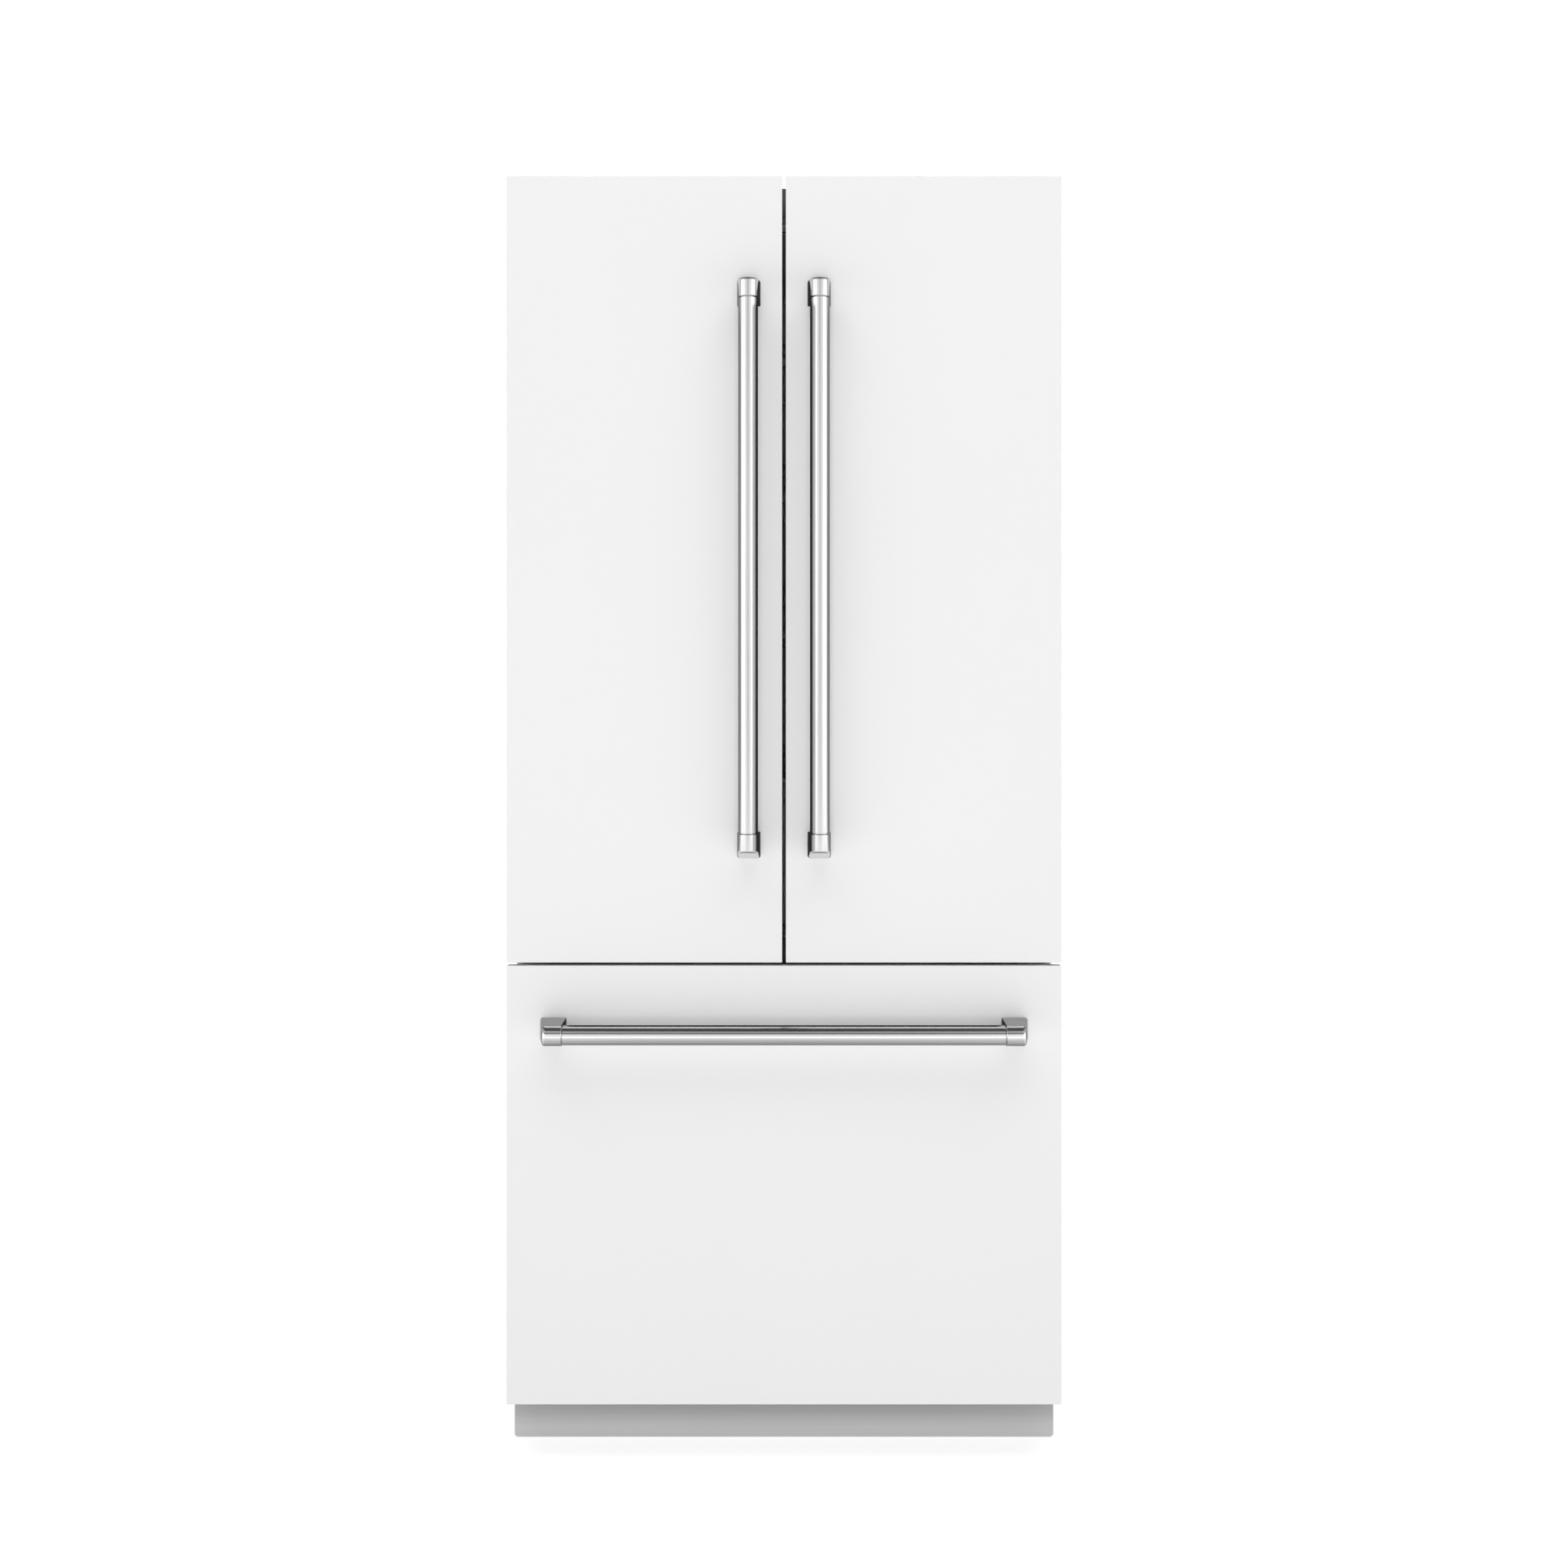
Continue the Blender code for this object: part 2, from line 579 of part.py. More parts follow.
def make_toe_kick(looks):
    half = HALF_WIDTH
    top = TOE_HEIGHT - TOE_CLEARANCE
    outline = [
        (-half, TOE_CLEARANCE + TOE_CHAMFER),
        (-half + TOE_CHAMFER, TOE_CLEARANCE),
        (half - TOE_CHAMFER, TOE_CLEARANCE),
        (half, TOE_CLEARANCE + TOE_CHAMFER),
        (half, top),
        (-half, top),
    ]
    plate = prism(outline, "depth", (TOE_RECESS, TOE_RECESS + TOE_SHEET))
    extras = []
    overlap = TOE_RECESS + TOE_SHEET / 2
    for side in (-1, 1):
        extras.append(
            box(
                (side * (half - TOE_SHEET), side * half),
                (overlap, overlap + BASE_RAIL_WIDTH),
                (TOE_CLEARANCE + 2 * TOE_CHAMFER, top - TOE_CHAMFER),
            )
        )
        tab_x = half * 2 / 3
        extras.append(
            box(
                (side * tab_x, side * (tab_x + BASE_RAIL_WIDTH)),
                (overlap, FRAME_BACK),
                (BASE_BOTTOM + TRAY_THICK, top - TRAY_THICK),
            )
        )
    solid("toe_kick", looks["toe"], [plate, *extras])


# Machine room


def fan(name, look, centre, turn, radius):
    """A hub with pitched blades about local Z, turned onto its axis. Its bore runs on the motor's shaft."""
    hub_radius = radius * 0.28
    hub_height = radius * 0.40
    blade_height = hub_height * 0.75
    across = (-BLADE_THICK / 2, BLADE_THICK / 2)
    place = Matrix.Translation(centre) @ turn @ Matrix.Translation(-at(0, 0, 0))
    hub = moved(cylinder("z", (0, 0), hub_radius, (-hub_height / 2, hub_height / 2), 24), place)
    blades = []
    for index in range(BLADE_COUNT):
        blade = box((hub_radius * 0.8, radius), across, (-blade_height / 2, blade_height / 2))
        pitch = Matrix.Rotation(math.radians(BLADE_PITCH), 4, "X")
        spin = Matrix.Rotation(2 * math.pi * index / BLADE_COUNT, 4, "Z")
        centred = Matrix.Translation(-at(0, 0, 0))
        blades.append(moved(blade, Matrix.Translation(centre) @ turn @ spin @ pitch @ centred))
    bore = moved(cylinder("z", (0, 0), SHAFT_RADIUS + RUNNING_GAP, (-radius, hub_height / 5)), place)
    return solid(name, look, [hub, *blades], [bore], smooth=True)


def fan_motor(centre, turn, radius, reach):
    """The motor behind a fan, with its shaft in the fan's bore and two arms that cross the opening."""
    hub_half = radius * 0.20
    front = -hub_half - MOTOR_GAP
    back = front - MOTOR_DEPTH
    place = Matrix.Translation(centre) @ turn @ Matrix.Translation(-at(0, 0, 0))
    can = cylinder("z", (0, 0), radius * 0.30, (back, front), 24)
    shaft = cylinder("z", (0, 0), SHAFT_RADIUS, (front - MOTOR_DEPTH / 3, hub_half * 0.2))
    half = ARM_WIDTH / 2
    arm_span = (back, back + ARM_THICK)
    arms = [box((-reach, reach), (-half, half), arm_span), box((-half, half), (-reach, reach), arm_span)]
    return [moved(shape, place) for shape in (can, shaft, *arms)]


def make_machine_room(looks):
    floor = BASE_BOTTOM + TRAY_THICK + FIT
    middle_depth = (MACHINE_FRONT + FOAM_BACK) / 2
    centre = (COMPRESSOR_X, middle_depth)
    can_bottom = floor + COMPRESSOR_LIFT
    can_top = can_bottom + COMPRESSOR_HEIGHT
    dome = COMPRESSOR_RADIUS * 0.5
    steps = 5
    lower = []
    upper = []
    for index in range(steps):
        angle = math.pi / 2 * (index + 1) / steps
        radius = COMPRESSOR_RADIUS * math.sin(angle)
        rise = dome * (1 - math.cos(angle))
        lower.append((radius, can_bottom + rise))
        upper.append((radius, can_top - rise))
    can = turned(lower + upper[::-1], centre)
    plate_x, plate_depth = COMPRESSOR_PLATE_HALF
    plate_bottom = can_bottom - COMPRESSOR_PLATE_THICK
    plate_middle = can_bottom - COMPRESSOR_PLATE_THICK / 2
    foot_plate = box(
        (COMPRESSOR_X - plate_x, COMPRESSOR_X + plate_x),
        (middle_depth - plate_depth, middle_depth + plate_depth),
        (plate_bottom, can_bottom),
    )
    neck = cylinder("z", centre, COMPRESSOR_RADIUS * 0.7, (plate_middle, can_bottom + dome), 24)
    mounts = []
    for side_x in (-1, 1):
        for side_depth in (-1, 1):
            foot_x = COMPRESSOR_X + side_x * COMPRESSOR_FOOT_SPREAD[0]
            foot_depth = middle_depth + side_depth * COMPRESSOR_FOOT_SPREAD[1]
            foot = (foot_x, foot_depth)
            mounts.append(cylinder("z", foot, COMPRESSOR_FOOT_RADIUS, (floor, plate_middle)))
    solid("compressor", looks["black"], [can, neck, foot_plate, *mounts], smooth=True)

    low_x, high_x = CONDENSER_X
    near = middle_depth - CONDENSER_DEPTH / 2
    far = middle_depth + CONDENSER_DEPTH / 2
    top = floor + CONDENSER_HEIGHT
    core = box((low_x, high_x), (near, far), (floor, top))
    pitch = (high_x - low_x - 2 * FIN_END) / CONDENSER_FINS
    groove = CONDENSER_DEPTH * CONDENSER_SLOT_SHARE
    slots = []
    for index in range(CONDENSER_FINS):
        start = low_x + FIN_END + (index + 0.25) * pitch
        for depths in ((near - CUT_PAST, near + groove), (far - groove, far + CUT_PAST)):
            slots.append(box((start, start + pitch / 2), depths, (floor + FIN_END, top + CUT_PAST)))
    shroud_x = low_x - SHROUD_GAP
    shroud = box((shroud_x, shroud_x + SHROUD_THICK), (near, far), (floor, top))
    bridge = box((shroud_x, low_x + FIN_END / 5), (near, far), (floor, floor + SHROUD_BRIDGE))
    fan_level = floor + CONDENSER_HEIGHT / 2
    fan_centre = at(shroud_x - ARM_THICK, middle_depth, fan_level)
    turn = Matrix.Rotation(math.radians(-90), 4, "Y")
    opening = cylinder(
        "x",
        (middle_depth, fan_level),
        CONDENSER_FAN_RADIUS + FAN_TIP_GAP,
        (shroud_x - CUT_PAST, shroud_x + CUT_PAST),
        ROUND_SIDES,
    )
    condenser = solid("condenser", looks["fins"], [core, shroud, bridge], [*slots, opening])
    arm_reach = CONDENSER_FAN_RADIUS + 2 * FAN_TIP_GAP
    strut_end = shroud_x + 1.5 * MOTOR_DEPTH + SHROUD_THICK / 2
    struts = []
    for side in (-1, 1):
        strut_depth = middle_depth + side * arm_reach
        struts.append(
            box(
                (shroud_x, strut_end),
                (strut_depth - SHROUD_THICK, strut_depth + FAN_TIP_GAP / 2 * (1 + side)),
                (fan_level - ARM_WIDTH / 2, fan_level + ARM_WIDTH / 2),
            )
        )
    combine(condenser, "UNION", [*struts, *fan_motor(fan_centre, turn, CONDENSER_FAN_RADIUS, arm_reach)])
    condenser_fan = fan("condenser_fan", looks["fan"], fan_centre, turn, CONDENSER_FAN_RADIUS)
    pivot("condenser_fan_axis", fan_centre, [condenser_fan])


def make_machine_cover(looks):
    """The plate behind the machine room, with its louvres and the gland of the mains cord."""
    back = BACK_SHEET_DEPTH + SHEET
    levels = (BASE_BOTTOM, MACHINE_ROOM_TOP - FIT)
    cover = box((-CABINET_HALF, CABINET_HALF), (BACK_SHEET_DEPTH, back), levels)
    cuts = []
    for row in range(LOUVRE_ROWS):
        level = CABINET_BOTTOM + LOUVRE_LIFT + row * LOUVRE_PITCH
        for start in LOUVRE_STARTS:
            across = (start, start + LOUVRE_LENGTH)
            cuts.append(box(across, (BACK_SHEET_DEPTH - CUT_PAST, DEPTH), (level, level + LOUVRE_SLOT)))
    centre = (GLAND_X, GLAND_LEVEL)
    gland = cylinder("depth", centre, GLAND_RADIUS, (BACK_SHEET_DEPTH + SHEET / 2, DEPTH), 24)
    through = (BACK_SHEET_DEPTH - CUT_PAST, DEPTH + CUT_PAST)
    cuts.append(cylinder("depth", centre, CORD_HOLE_RADIUS, through))
    solid("machine_cover", looks["galvanised"], [cover, gland], cuts)


# Fridge interior


def crisper_rim():
    return CRISPER_SHELF_LEVEL - CRISPER_RIM_DROP


def make_shelves(looks):
    half = FRIDGE_HALF - RUNNING_GAP * 3
    for name, level in SHELF_LEVELS.items():
        plate = box((-half, half), (SHELF_FRONT, SHELF_REAR), (level, level + SHELF_THICK))
        lip = box(
            (-half, half),
            (SHELF_FRONT, SHELF_FRONT + LEDGE_WIDTH / 2),
            (level - SHELF_THICK / 2, level + SHELF_THICK),
        )
        solid(name, looks["glass"], [plate, lip])

    level = CRISPER_SHELF_LEVEL
    plate = box((-half, half), (SHELF_FRONT, SHELF_REAR), (level, level + SHELF_THICK))
    rear = FRIDGE_REAR - CRISPER_REAR_GAP
    divider = box(
        (-CRISPER_WALL, CRISPER_WALL),
        (CRISPER_FRONT, SHELF_REAR - FIT),
        (FRIDGE_FLOOR + FIT, level + SHELF_THICK / 2),
    )
    runner_top = crisper_rim() - CRISPER_FLANGE - FIT
    runner = box(
        (-RUNNER_WIDTH, RUNNER_WIDTH),
        (CRISPER_FRONT, min(rear, SHELF_REAR - FIT)),
        (runner_top - RUNNER_HEIGHT, runner_top),
    )
    solid("crisper_shelf", looks["glass"], [plate, divider, runner])


def make_crispers(looks):
    rim = crisper_rim()
    bottom = FRIDGE_FLOOR + CRISPER_FLOOR_GAP
    front = CRISPER_FRONT
    rear = FRIDGE_REAR - CRISPER_REAR_GAP
    near = CRISPER_CENTRE_GAP
    far = FRIDGE_HALF - CRISPER_SIDE_GAP
    wall = CRISPER_WALL
    face_top = CRISPER_SHELF_LEVEL - CRISPER_LIP_HEIGHT
    for side, name in ((-1, "crisper_left"), (1, "crisper_right")):
        tub = box((side * near, side * far), (front, rear), (bottom, rim))
        inside = box(
            (side * (near + wall), side * (far - wall)),
            (front + wall, rear - wall),
            (bottom + wall, CABINET_HEIGHT),
        )
        flange = box(
            (side * (CRISPER_WALL + FIT * 10), side * (FRIDGE_HALF - RUNNING_GAP * 3)),
            (front, rear),
            (rim - CRISPER_FLANGE, rim),
        )
        face = box((side * near, side * far), (front, front + wall), (bottom, face_top))
        lip_levels = (face_top - CRISPER_LIP_HEIGHT, face_top)
        lip = box((side * near, side * far), (front - CRISPER_LIP, front + wall), lip_levels)
        crisper = solid(name, looks["clear"], [tub, flange, face, lip], [inside])
        pivot(f"{name}_axis", at(side * (near + far) / 2, front, rim), [crisper])


def make_air_duct(looks):
    bottom = CRISPER_SHELF_LEVEL + SHELF_THICK + DUCT_END_GAP
    top = FRIDGE_CEILING - DUCT_END_GAP
    rear = FRIDGE_REAR - FIT
    front = rear - DUCT_DEPTH
    half = DUCT_HALF_WIDTH
    cover = box((-half, half), (front, rear), (bottom, top))
    hollow = box(
        (DUCT_WALL - half, half - DUCT_WALL),
        (front + DUCT_WALL, rear + DUCT_WALL),
        (bottom + DUCT_WALL, top - DUCT_WALL),
    )
    vents = []
    for level in SHELF_LEVELS.values():
        for rise in VENT_RISES:
            across = (-half * 0.6, half * 0.6)
            through = (front - DUCT_WALL, front + 2 * DUCT_WALL)
            vents.append(box(across, through, (level + rise, level + rise + VENT_HEIGHT)))
    solid("air_duct", looks["liner"], [cover], [hollow, *vents])


# Freezer


def make_freezer_cooling(looks):
    rear = FREEZER_REAR - FIT
    half = FREEZER_HALF - FIT
    bottom = STEP_TOP + FIT
    top = DIVIDER_BOTTOM - FIT
    fan_level = DIVIDER_BOTTOM - FREEZER_FAN_DROP
    plate = box((-half, half), (COVER_DEPTH, COVER_DEPTH + COVER_THICK), (bottom, top))
    wings = []
    for side in (-1, 1):
        across = (side * (half - COVER_THICK), side * half)
        wings.append(box(across, (COVER_DEPTH + COVER_THICK / 2, rear), (bottom, top)))
    through = (COVER_DEPTH - COVER_THICK, COVER_DEPTH + 2 * COVER_THICK)
    centre = (0, fan_level)
    cuts = [cylinder("depth", centre, FREEZER_FAN_RADIUS + COVER_THICK, through, ROUND_SIDES)]
    slot_bottom = bottom + EVAPORATOR_LIFT
    for index in range(COVER_SLOTS):
        start = (index - (COVER_SLOTS - 1) / 2) * COVER_SLOT_PITCH - COVER_SLOT_LENGTH / 2
        across = (start, start + COVER_SLOT_LENGTH)
        cuts.append(box(across, through, (slot_bottom, slot_bottom + COVER_SLOT_HEIGHT)))
    cover = solid("evaporator_cover", looks["liner"], [plate, *wings], cuts)
    centre = at(0, COVER_DEPTH + ARM_THICK, fan_level)
    turn = Matrix.Rotation(math.radians(90), 4, "X")
    arm_reach = FREEZER_FAN_RADIUS + ARM_WIDTH
    strut_end = COVER_DEPTH + 2 * MOTOR_DEPTH + COVER_THICK / 3
    struts = []
    for side in (-1, 1):
        struts.append(
            box(
                (side * (arm_reach - ARM_WIDTH / 2), side * arm_reach),
                (COVER_DEPTH + COVER_THICK / 2, strut_end),
                (fan_level - ARM_WIDTH / 2, fan_level + ARM_WIDTH / 2),
            )
        )
    combine(cover, "UNION", [*struts, *fan_motor(centre, turn, FREEZER_FAN_RADIUS, arm_reach)])
    evaporator_fan = fan("evaporator_fan", looks["fan"], centre, turn, FREEZER_FAN_RADIUS)
    pivot("evaporator_fan_axis", centre, [evaporator_fan])

    low = bottom + EVAPORATOR_LIFT
    wide = EVAPORATOR_HALF_WIDTH
    front = rear - EVAPORATOR_DEPTH
    core = box((-wide, wide), (front, rear), (low, low + EVAPORATOR_HEIGHT))
    pitch = 2 * (wide - FIN_END) / EVAPORATOR_FINS
    grooves = []
    for index in range(EVAPORATOR_FINS):
        start = FIN_END - wide + (index + 0.25) * pitch
        grooves.append(
            box(
                (start, start + pitch / 2),
                (front - CUT_PAST, front + EVAPORATOR_DEPTH * GROOVE_SHARE),
                (low - CUT_PAST, low + EVAPORATOR_HEIGHT + CUT_PAST),
            )
        )
    solid("evaporator", looks["fins"], [core], grooves)


def make_ice_maker(looks):
    width, depth, height = ICE_MAKER_SIZE
    left = ICE_MAKER_SIDE_GAP - FREEZER_HALF
    rear = COVER_DEPTH - ICE_MAKER_REAR_GAP
    top = DIVIDER_BOTTOM - FIT
    body = box((left, left + width), (rear - depth, rear), (top - height, top))
    chute_width, chute_depth, chute_height = ICE_CHUTE_SIZE
    chute_left = left + (width - chute_width) / 2
    chute = box(
        (chute_left, chute_left + chute_width),
        (rear - depth - CUT_PAST, rear - depth + chute_depth),
        (top - height - CUT_PAST, top - height + chute_height),
    )
    solid("ice_maker", looks["liner"], [body], [chute])


def make_rails(looks):
    front = FRAME_BACK + RAIL_FRONT_GAP
    outside = FREEZER_HALF - FIT
    half_height = RAIL_HEIGHT / 2
    sheet = RAIL_SHEET
    lip = MIDDLE_RAIL_WIDTH
    low = RAIL_LEVEL - half_height
    high = RAIL_LEVEL + half_height
    for side, word in ((-1, "left"), (1, "right")):
        channel = [
            (side * outside, low),
            (side * outside, high),
            (side * (outside - sheet - lip), high),
            (side * (outside - sheet - lip), high - sheet),
            (side * (outside - sheet), high - sheet),
            (side * (outside - sheet), low + sheet),
            (side * (outside - sheet - lip), low + sheet),
            (side * (outside - sheet - lip), low),
        ]
        solid(f"rail_outer_{word}", looks["zinc"], [prism(channel, "depth", (front, RAIL_REAR))])
        middle_out = outside - sheet - FIT
        middle_low = RAIL_LEVEL - MIDDLE_RAIL_HEIGHT / 2
        bar = box(
            (side * (middle_out - MIDDLE_RAIL_WIDTH), side * middle_out),
            (front + RAIL_FRONT_GAP, RAIL_REAR),
            (middle_low, middle_low + MIDDLE_RAIL_HEIGHT),
        )
        middle = solid(f"rail_middle_{word}", looks["zinc"], [bar])
        pivot(f"rail_middle_{word}_axis", at(side * middle_out, front, RAIL_LEVEL), [middle])


def make_drawer_frame(looks):
    out = INNER_RAIL_OUT
    low = RAIL_LEVEL - INNER_RAIL_HEIGHT / 2
    high = RAIL_LEVEL + INNER_RAIL_HEIGHT / 2
    front = GASKET_FRONT
    plate = box((-out, out), (front, front + RAIL_SHEET), (RAIL_LEVEL - FRAME_PLATE_DROP, high))
    rails = []
    for side in (-1, 1):
        across = (side * (out - INNER_RAIL_WIDTH), side * out)
        rails.append(box(across, (front + RAIL_SHEET / 2, RAIL_REAR), (low, high)))
    tie = box((-out, out), (RAIL_REAR - TIE_DEPTH, RAIL_REAR), (low, low + TIE_HEIGHT))
    return solid("drawer_frame", looks["zinc"], [plate, *rails, tie])


def make_basket(looks):
    half = BASKET_HALF
    front = BASKET_FRONT
    rear = BASKET_REAR
    bottom = FREEZER_FLOOR + BASKET_BOTTOM_GAP
    wall = BASKET_WALL
    seat = RAIL_LEVEL + INNER_RAIL_HEIGHT / 2 + FIT
    tub = box((-half, half), (front, rear), (bottom, BASKET_TOP))
    hangers = []
    for side in (-1, 1):
        hangers.append(
            box((side * (half - wall / 2), side * INNER_RAIL_OUT), (front, rear), (seat, seat + wall))
        )
    inside = box((wall - half, half - wall), (front + wall, rear - wall), (bottom + wall, CABINET_HEIGHT))
    basket = solid("freezer_basket", looks["basket"], [tub, *hangers], [inside])

    tray_bottom = BASKET_TOP + FIT
    tray_front = front + TRAY_FRONT_GAP
    tray_rear = rear - TRAY_REAR_GAP
    tray_shell = box((-half, half), (tray_front, tray_rear), (tray_bottom, tray_bottom + TRAY_HEIGHT))
    tray_inside = box(
        (wall - half, half - wall),
        (tray_front + wall, tray_rear - wall),
        (tray_bottom + wall, CABINET_HEIGHT),
    )
    tray = solid("freezer_tray", looks["basket"], [tray_shell], [tray_inside])
    return basket, tray, at(0, tray_front, tray_bottom)


# Handles


def post_outline():
    """Half round at the front, with sides that flare out to the panel: (across, depth) pairs."""
    steps = 12
    points = [(POST_RADIUS + POST_FLARE, 0.0)]
    for index in range(steps + 1):
        angle = math.pi * index / steps
        points.append((POST_RADIUS * math.cos(angle), -BAR_STANDOFF - POST_RADIUS * math.sin(angle)))
    points.append((-POST_RADIUS - POST_FLARE, 0.0))
    return points


def post(name, look, place):
    """A post whose inner end is square and whose outer end slopes out towards the panel.

    place(across, depth, along) gives the point; along is 0 at the inner end and grows outwards.
    """
    shape = bmesh.new()
    slope = (POST_BASE_LENGTH - POST_FRONT_LENGTH) / (BAR_STANDOFF + POST_RADIUS)
    inner = []
    outer = []
    for across, depth in post_outline():
        length = POST_BASE_LENGTH + slope * depth
        inner.append(shape.verts.new(place(across, depth - FIT, 0.0)))
        outer.append(shape.verts.new(place(across, depth - FIT, length)))
    close_rings(shape, [inner, outer])
    rounded = [edge for edge in shape.edges if edge.verts[0] in outer and edge.verts[1] in outer]
    rounded = [edge for edge in rounded if edge.verts[0].co.y < PANEL_FACE_Y - POST_EDGE]
    bmesh.ops.bevel(shape, geom=rounded, offset=POST_EDGE, segments=3, profile=0.5, affect="EDGES")
    return solid(name, look, [shape], smooth=True)


def handle(prefix, look, length, place, word_low, word_high):
    """A round bar between two posts. place(across, depth, along) has its middle at along = 0."""
    inner_end = length / 2 - POST_BASE_LENGTH
    shape = bmesh.new()
    rings = []
    for along in (FIT - inner_end, inner_end - FIT):
        ring = circle((0, -BAR_STANDOFF - FIT), BAR_RADIUS, 40)
        rings.append([shape.verts.new(place(a, b, along)) for a, b in ring])
    bar = solid(f"{prefix}_handle_bar", look, [close_rings(shape, rings)], smooth=True)
    low = post(
        f"{prefix}_handle_post_{word_low}", look, lambda a, b, along: place(a, b, -inner_end - along)
    )
    high = post(
        f"{prefix}_handle_post_{word_high}", look, lambda a, b, along: place(a, b, inner_end + along)
    )
    return [bar, low, high]


# Drawer and doors


def gasket(name, look, x, z):
    front = GASKET_FRONT
    rear = front + GASKET_THICK
    band = GASKET_WIDTH
    ring = box(x, (front, rear), z)
    hole = box(
        (min(x) + band, max(x) - band), (front - FACE_GAP, rear + FACE_GAP), (min(z) + band, max(z) - band)
    )
    return solid(name, look, [ring], [hole])


def make_drawer(looks):
    half = HALF_WIDTH
    body_half = half - BODY_INSET
    levels = (TOE_HEIGHT + BODY_DROP, DRAWER_TOP - BODY_DROP)
    front = box((-half, half), (0, PANEL_THICK), (TOE_HEIGHT, DRAWER_TOP))
    panel = solid("freezer_panel", looks["panel"], [front])
    body = solid(
        "freezer_door_body",
        looks["liner"],
        [box((-body_half, body_half), (PANEL_THICK + FIT, DOOR_THICK), levels)],
    )
    seal_half = body_half - GASKET_INSET
    seal = gasket(
        "freezer_gasket",
        looks["gasket"],
        (-seal_half, seal_half),
        (levels[0] + GASKET_INSET, levels[1] - GASKET_INSET),
    )
    bar_level = DRAWER_TOP - DRAWER_HANDLE_DROP
    handles = handle(
        "freezer",
        looks["steel"],
        DRAWER_HANDLE_LENGTH,
        lambda across, depth, along: at(along, depth, bar_level + across),
        "left",
        "right",
    )
    basket, tray, tray_point = make_basket(looks)
    frame = make_drawer_frame(looks)
    pieces = [panel, body, seal, basket, frame, *handles]
    drawer = pivot("freezer_drawer_axis", at(0, 0, RAIL_LEVEL), pieces)
    pivot("freezer_tray_axis", tray_point, [tray], drawer)


def make_hinges(looks, side, word):
    edge = side * (CABINET_HALF - HINGE_EDGE_INSET)
    inside = side * (CABINET_HALF - HINGE_WIDTH)
    face = CABINET_FACE - FIT
    centre = (side * PIVOT_X, PIVOT_DEPTH)
    near = PIVOT_DEPTH - 3 * PIN_RADIUS
    flange_depths = (face - HINGE_FLANGE, face)

    plate_low = BODY_TOP + HINGE_GAP
    plate = box((edge, inside), (near, face), (plate_low, plate_low + HINGE_PLATE))
    flange_top = CABINET_HEIGHT - HINGE_GAP
    flange_bottom = max(flange_top - HINGE_FLANGE_HEIGHT, BODY_TOP - GASKET_INSET + HINGE_GAP)
    flange = box((edge, inside), flange_depths, (flange_bottom, flange_top))
    pin = cylinder("z", centre, PIN_RADIUS, (BODY_TOP - PIN_REACH, plate_low + HINGE_PLATE / 2))
    solid(f"hinge_top_{word}", looks["zinc"], [plate, flange, pin])

    middle = DRAWER_TOP + ROW_GAP / 2
    plate = box((edge, inside), (near, face), (middle - HINGE_PLATE / 2, middle + HINGE_PLATE / 2))
    flange = box(
        (edge, inside), flange_depths, (middle - HINGE_FLANGE_HEIGHT / 2, middle + HINGE_FLANGE_HEIGHT / 2)
    )
    pin = cylinder("z", centre, PIN_RADIUS, (middle, BODY_BOTTOM + PIN_REACH))
    solid(f"hinge_centre_{word}", looks["zinc"], [plate, flange, pin])


def mullion_lug_levels():
    low = FRIDGE_FLOOR + MULLION_GAP + MULLION_LUG_SETBACK
    high = FRIDGE_CEILING - MULLION_GAP - MULLION_LUG_SETBACK
    return low, high


def mullion_lugs():
    """Arms from the left door's rim to the mullion's axis, each with a pin up and down."""
    shapes = []
    centre = (MULLION_PIVOT_X, MULLION_DEPTH)
    radius = MULLION_THICK / 3
    for level in mullion_lug_levels():
        span = (level - MULLION_LUG_HEIGHT / 2, level + MULLION_LUG_HEIGHT / 2)
        arm_span = (span[0] + FIT, span[1] - FIT)
        shapes.append(
            box(
                (-DYKE_CENTRE - DYKE_WALL / 2, MULLION_PIVOT_X),
                (MULLION_DEPTH - radius * 0.8, MULLION_DEPTH + radius * 0.8),
                arm_span,
            )
        )
        shapes.append(cylinder("z", centre, radius, span))
        pin_span = (level - 1.5 * MULLION_LUG_HEIGHT, level + 1.5 * MULLION_LUG_HEIGHT)
        shapes.append(cylinder("z", centre, MULLION_PIN_RADIUS, pin_span))
    return shapes


def make_mullion(looks, door_axis):
    """Folded back along the door's free edge; turned a quarter it bridges the gap between the doors."""
    radius = MULLION_THICK / 2
    x, depth = MULLION_PIVOT_X, MULLION_DEPTH
    steps = 8
    outline = []
    for index in range(steps + 1):
        angle = math.pi + math.pi * index / steps
        outline.append((x + radius * math.cos(angle), depth + radius * math.sin(angle)))
    far = depth + MULLION_WIDTH - radius
    outline += [(x + radius, far), (x - radius, far)]
    levels = (FRIDGE_FLOOR + MULLION_GAP, FRIDGE_CEILING - MULLION_GAP)
    cuts = []
    for level in mullion_lug_levels():
        slot_half = MULLION_LUG_HEIGHT / 2 + MULLION_SLOT_GAP
        slot = (level - slot_half, level + slot_half)
        cuts.append(box((x - 2 * radius, x + 2 * radius), (depth - 2 * radius, depth + radius), slot))
        hole_half = 1.5 * MULLION_LUG_HEIGHT + MULLION_SLOT_GAP
        hole = (level - hole_half, level + hole_half)
        cuts.append(cylinder("z", (x, depth), MULLION_PIN_RADIUS + RUNNING_GAP, hole))
    mullion = solid("mullion", looks["liner"], [prism(outline, "z", levels)], cuts)
    pivot("mullion_axis", at(x, depth, levels[0]), [mullion], door_axis)


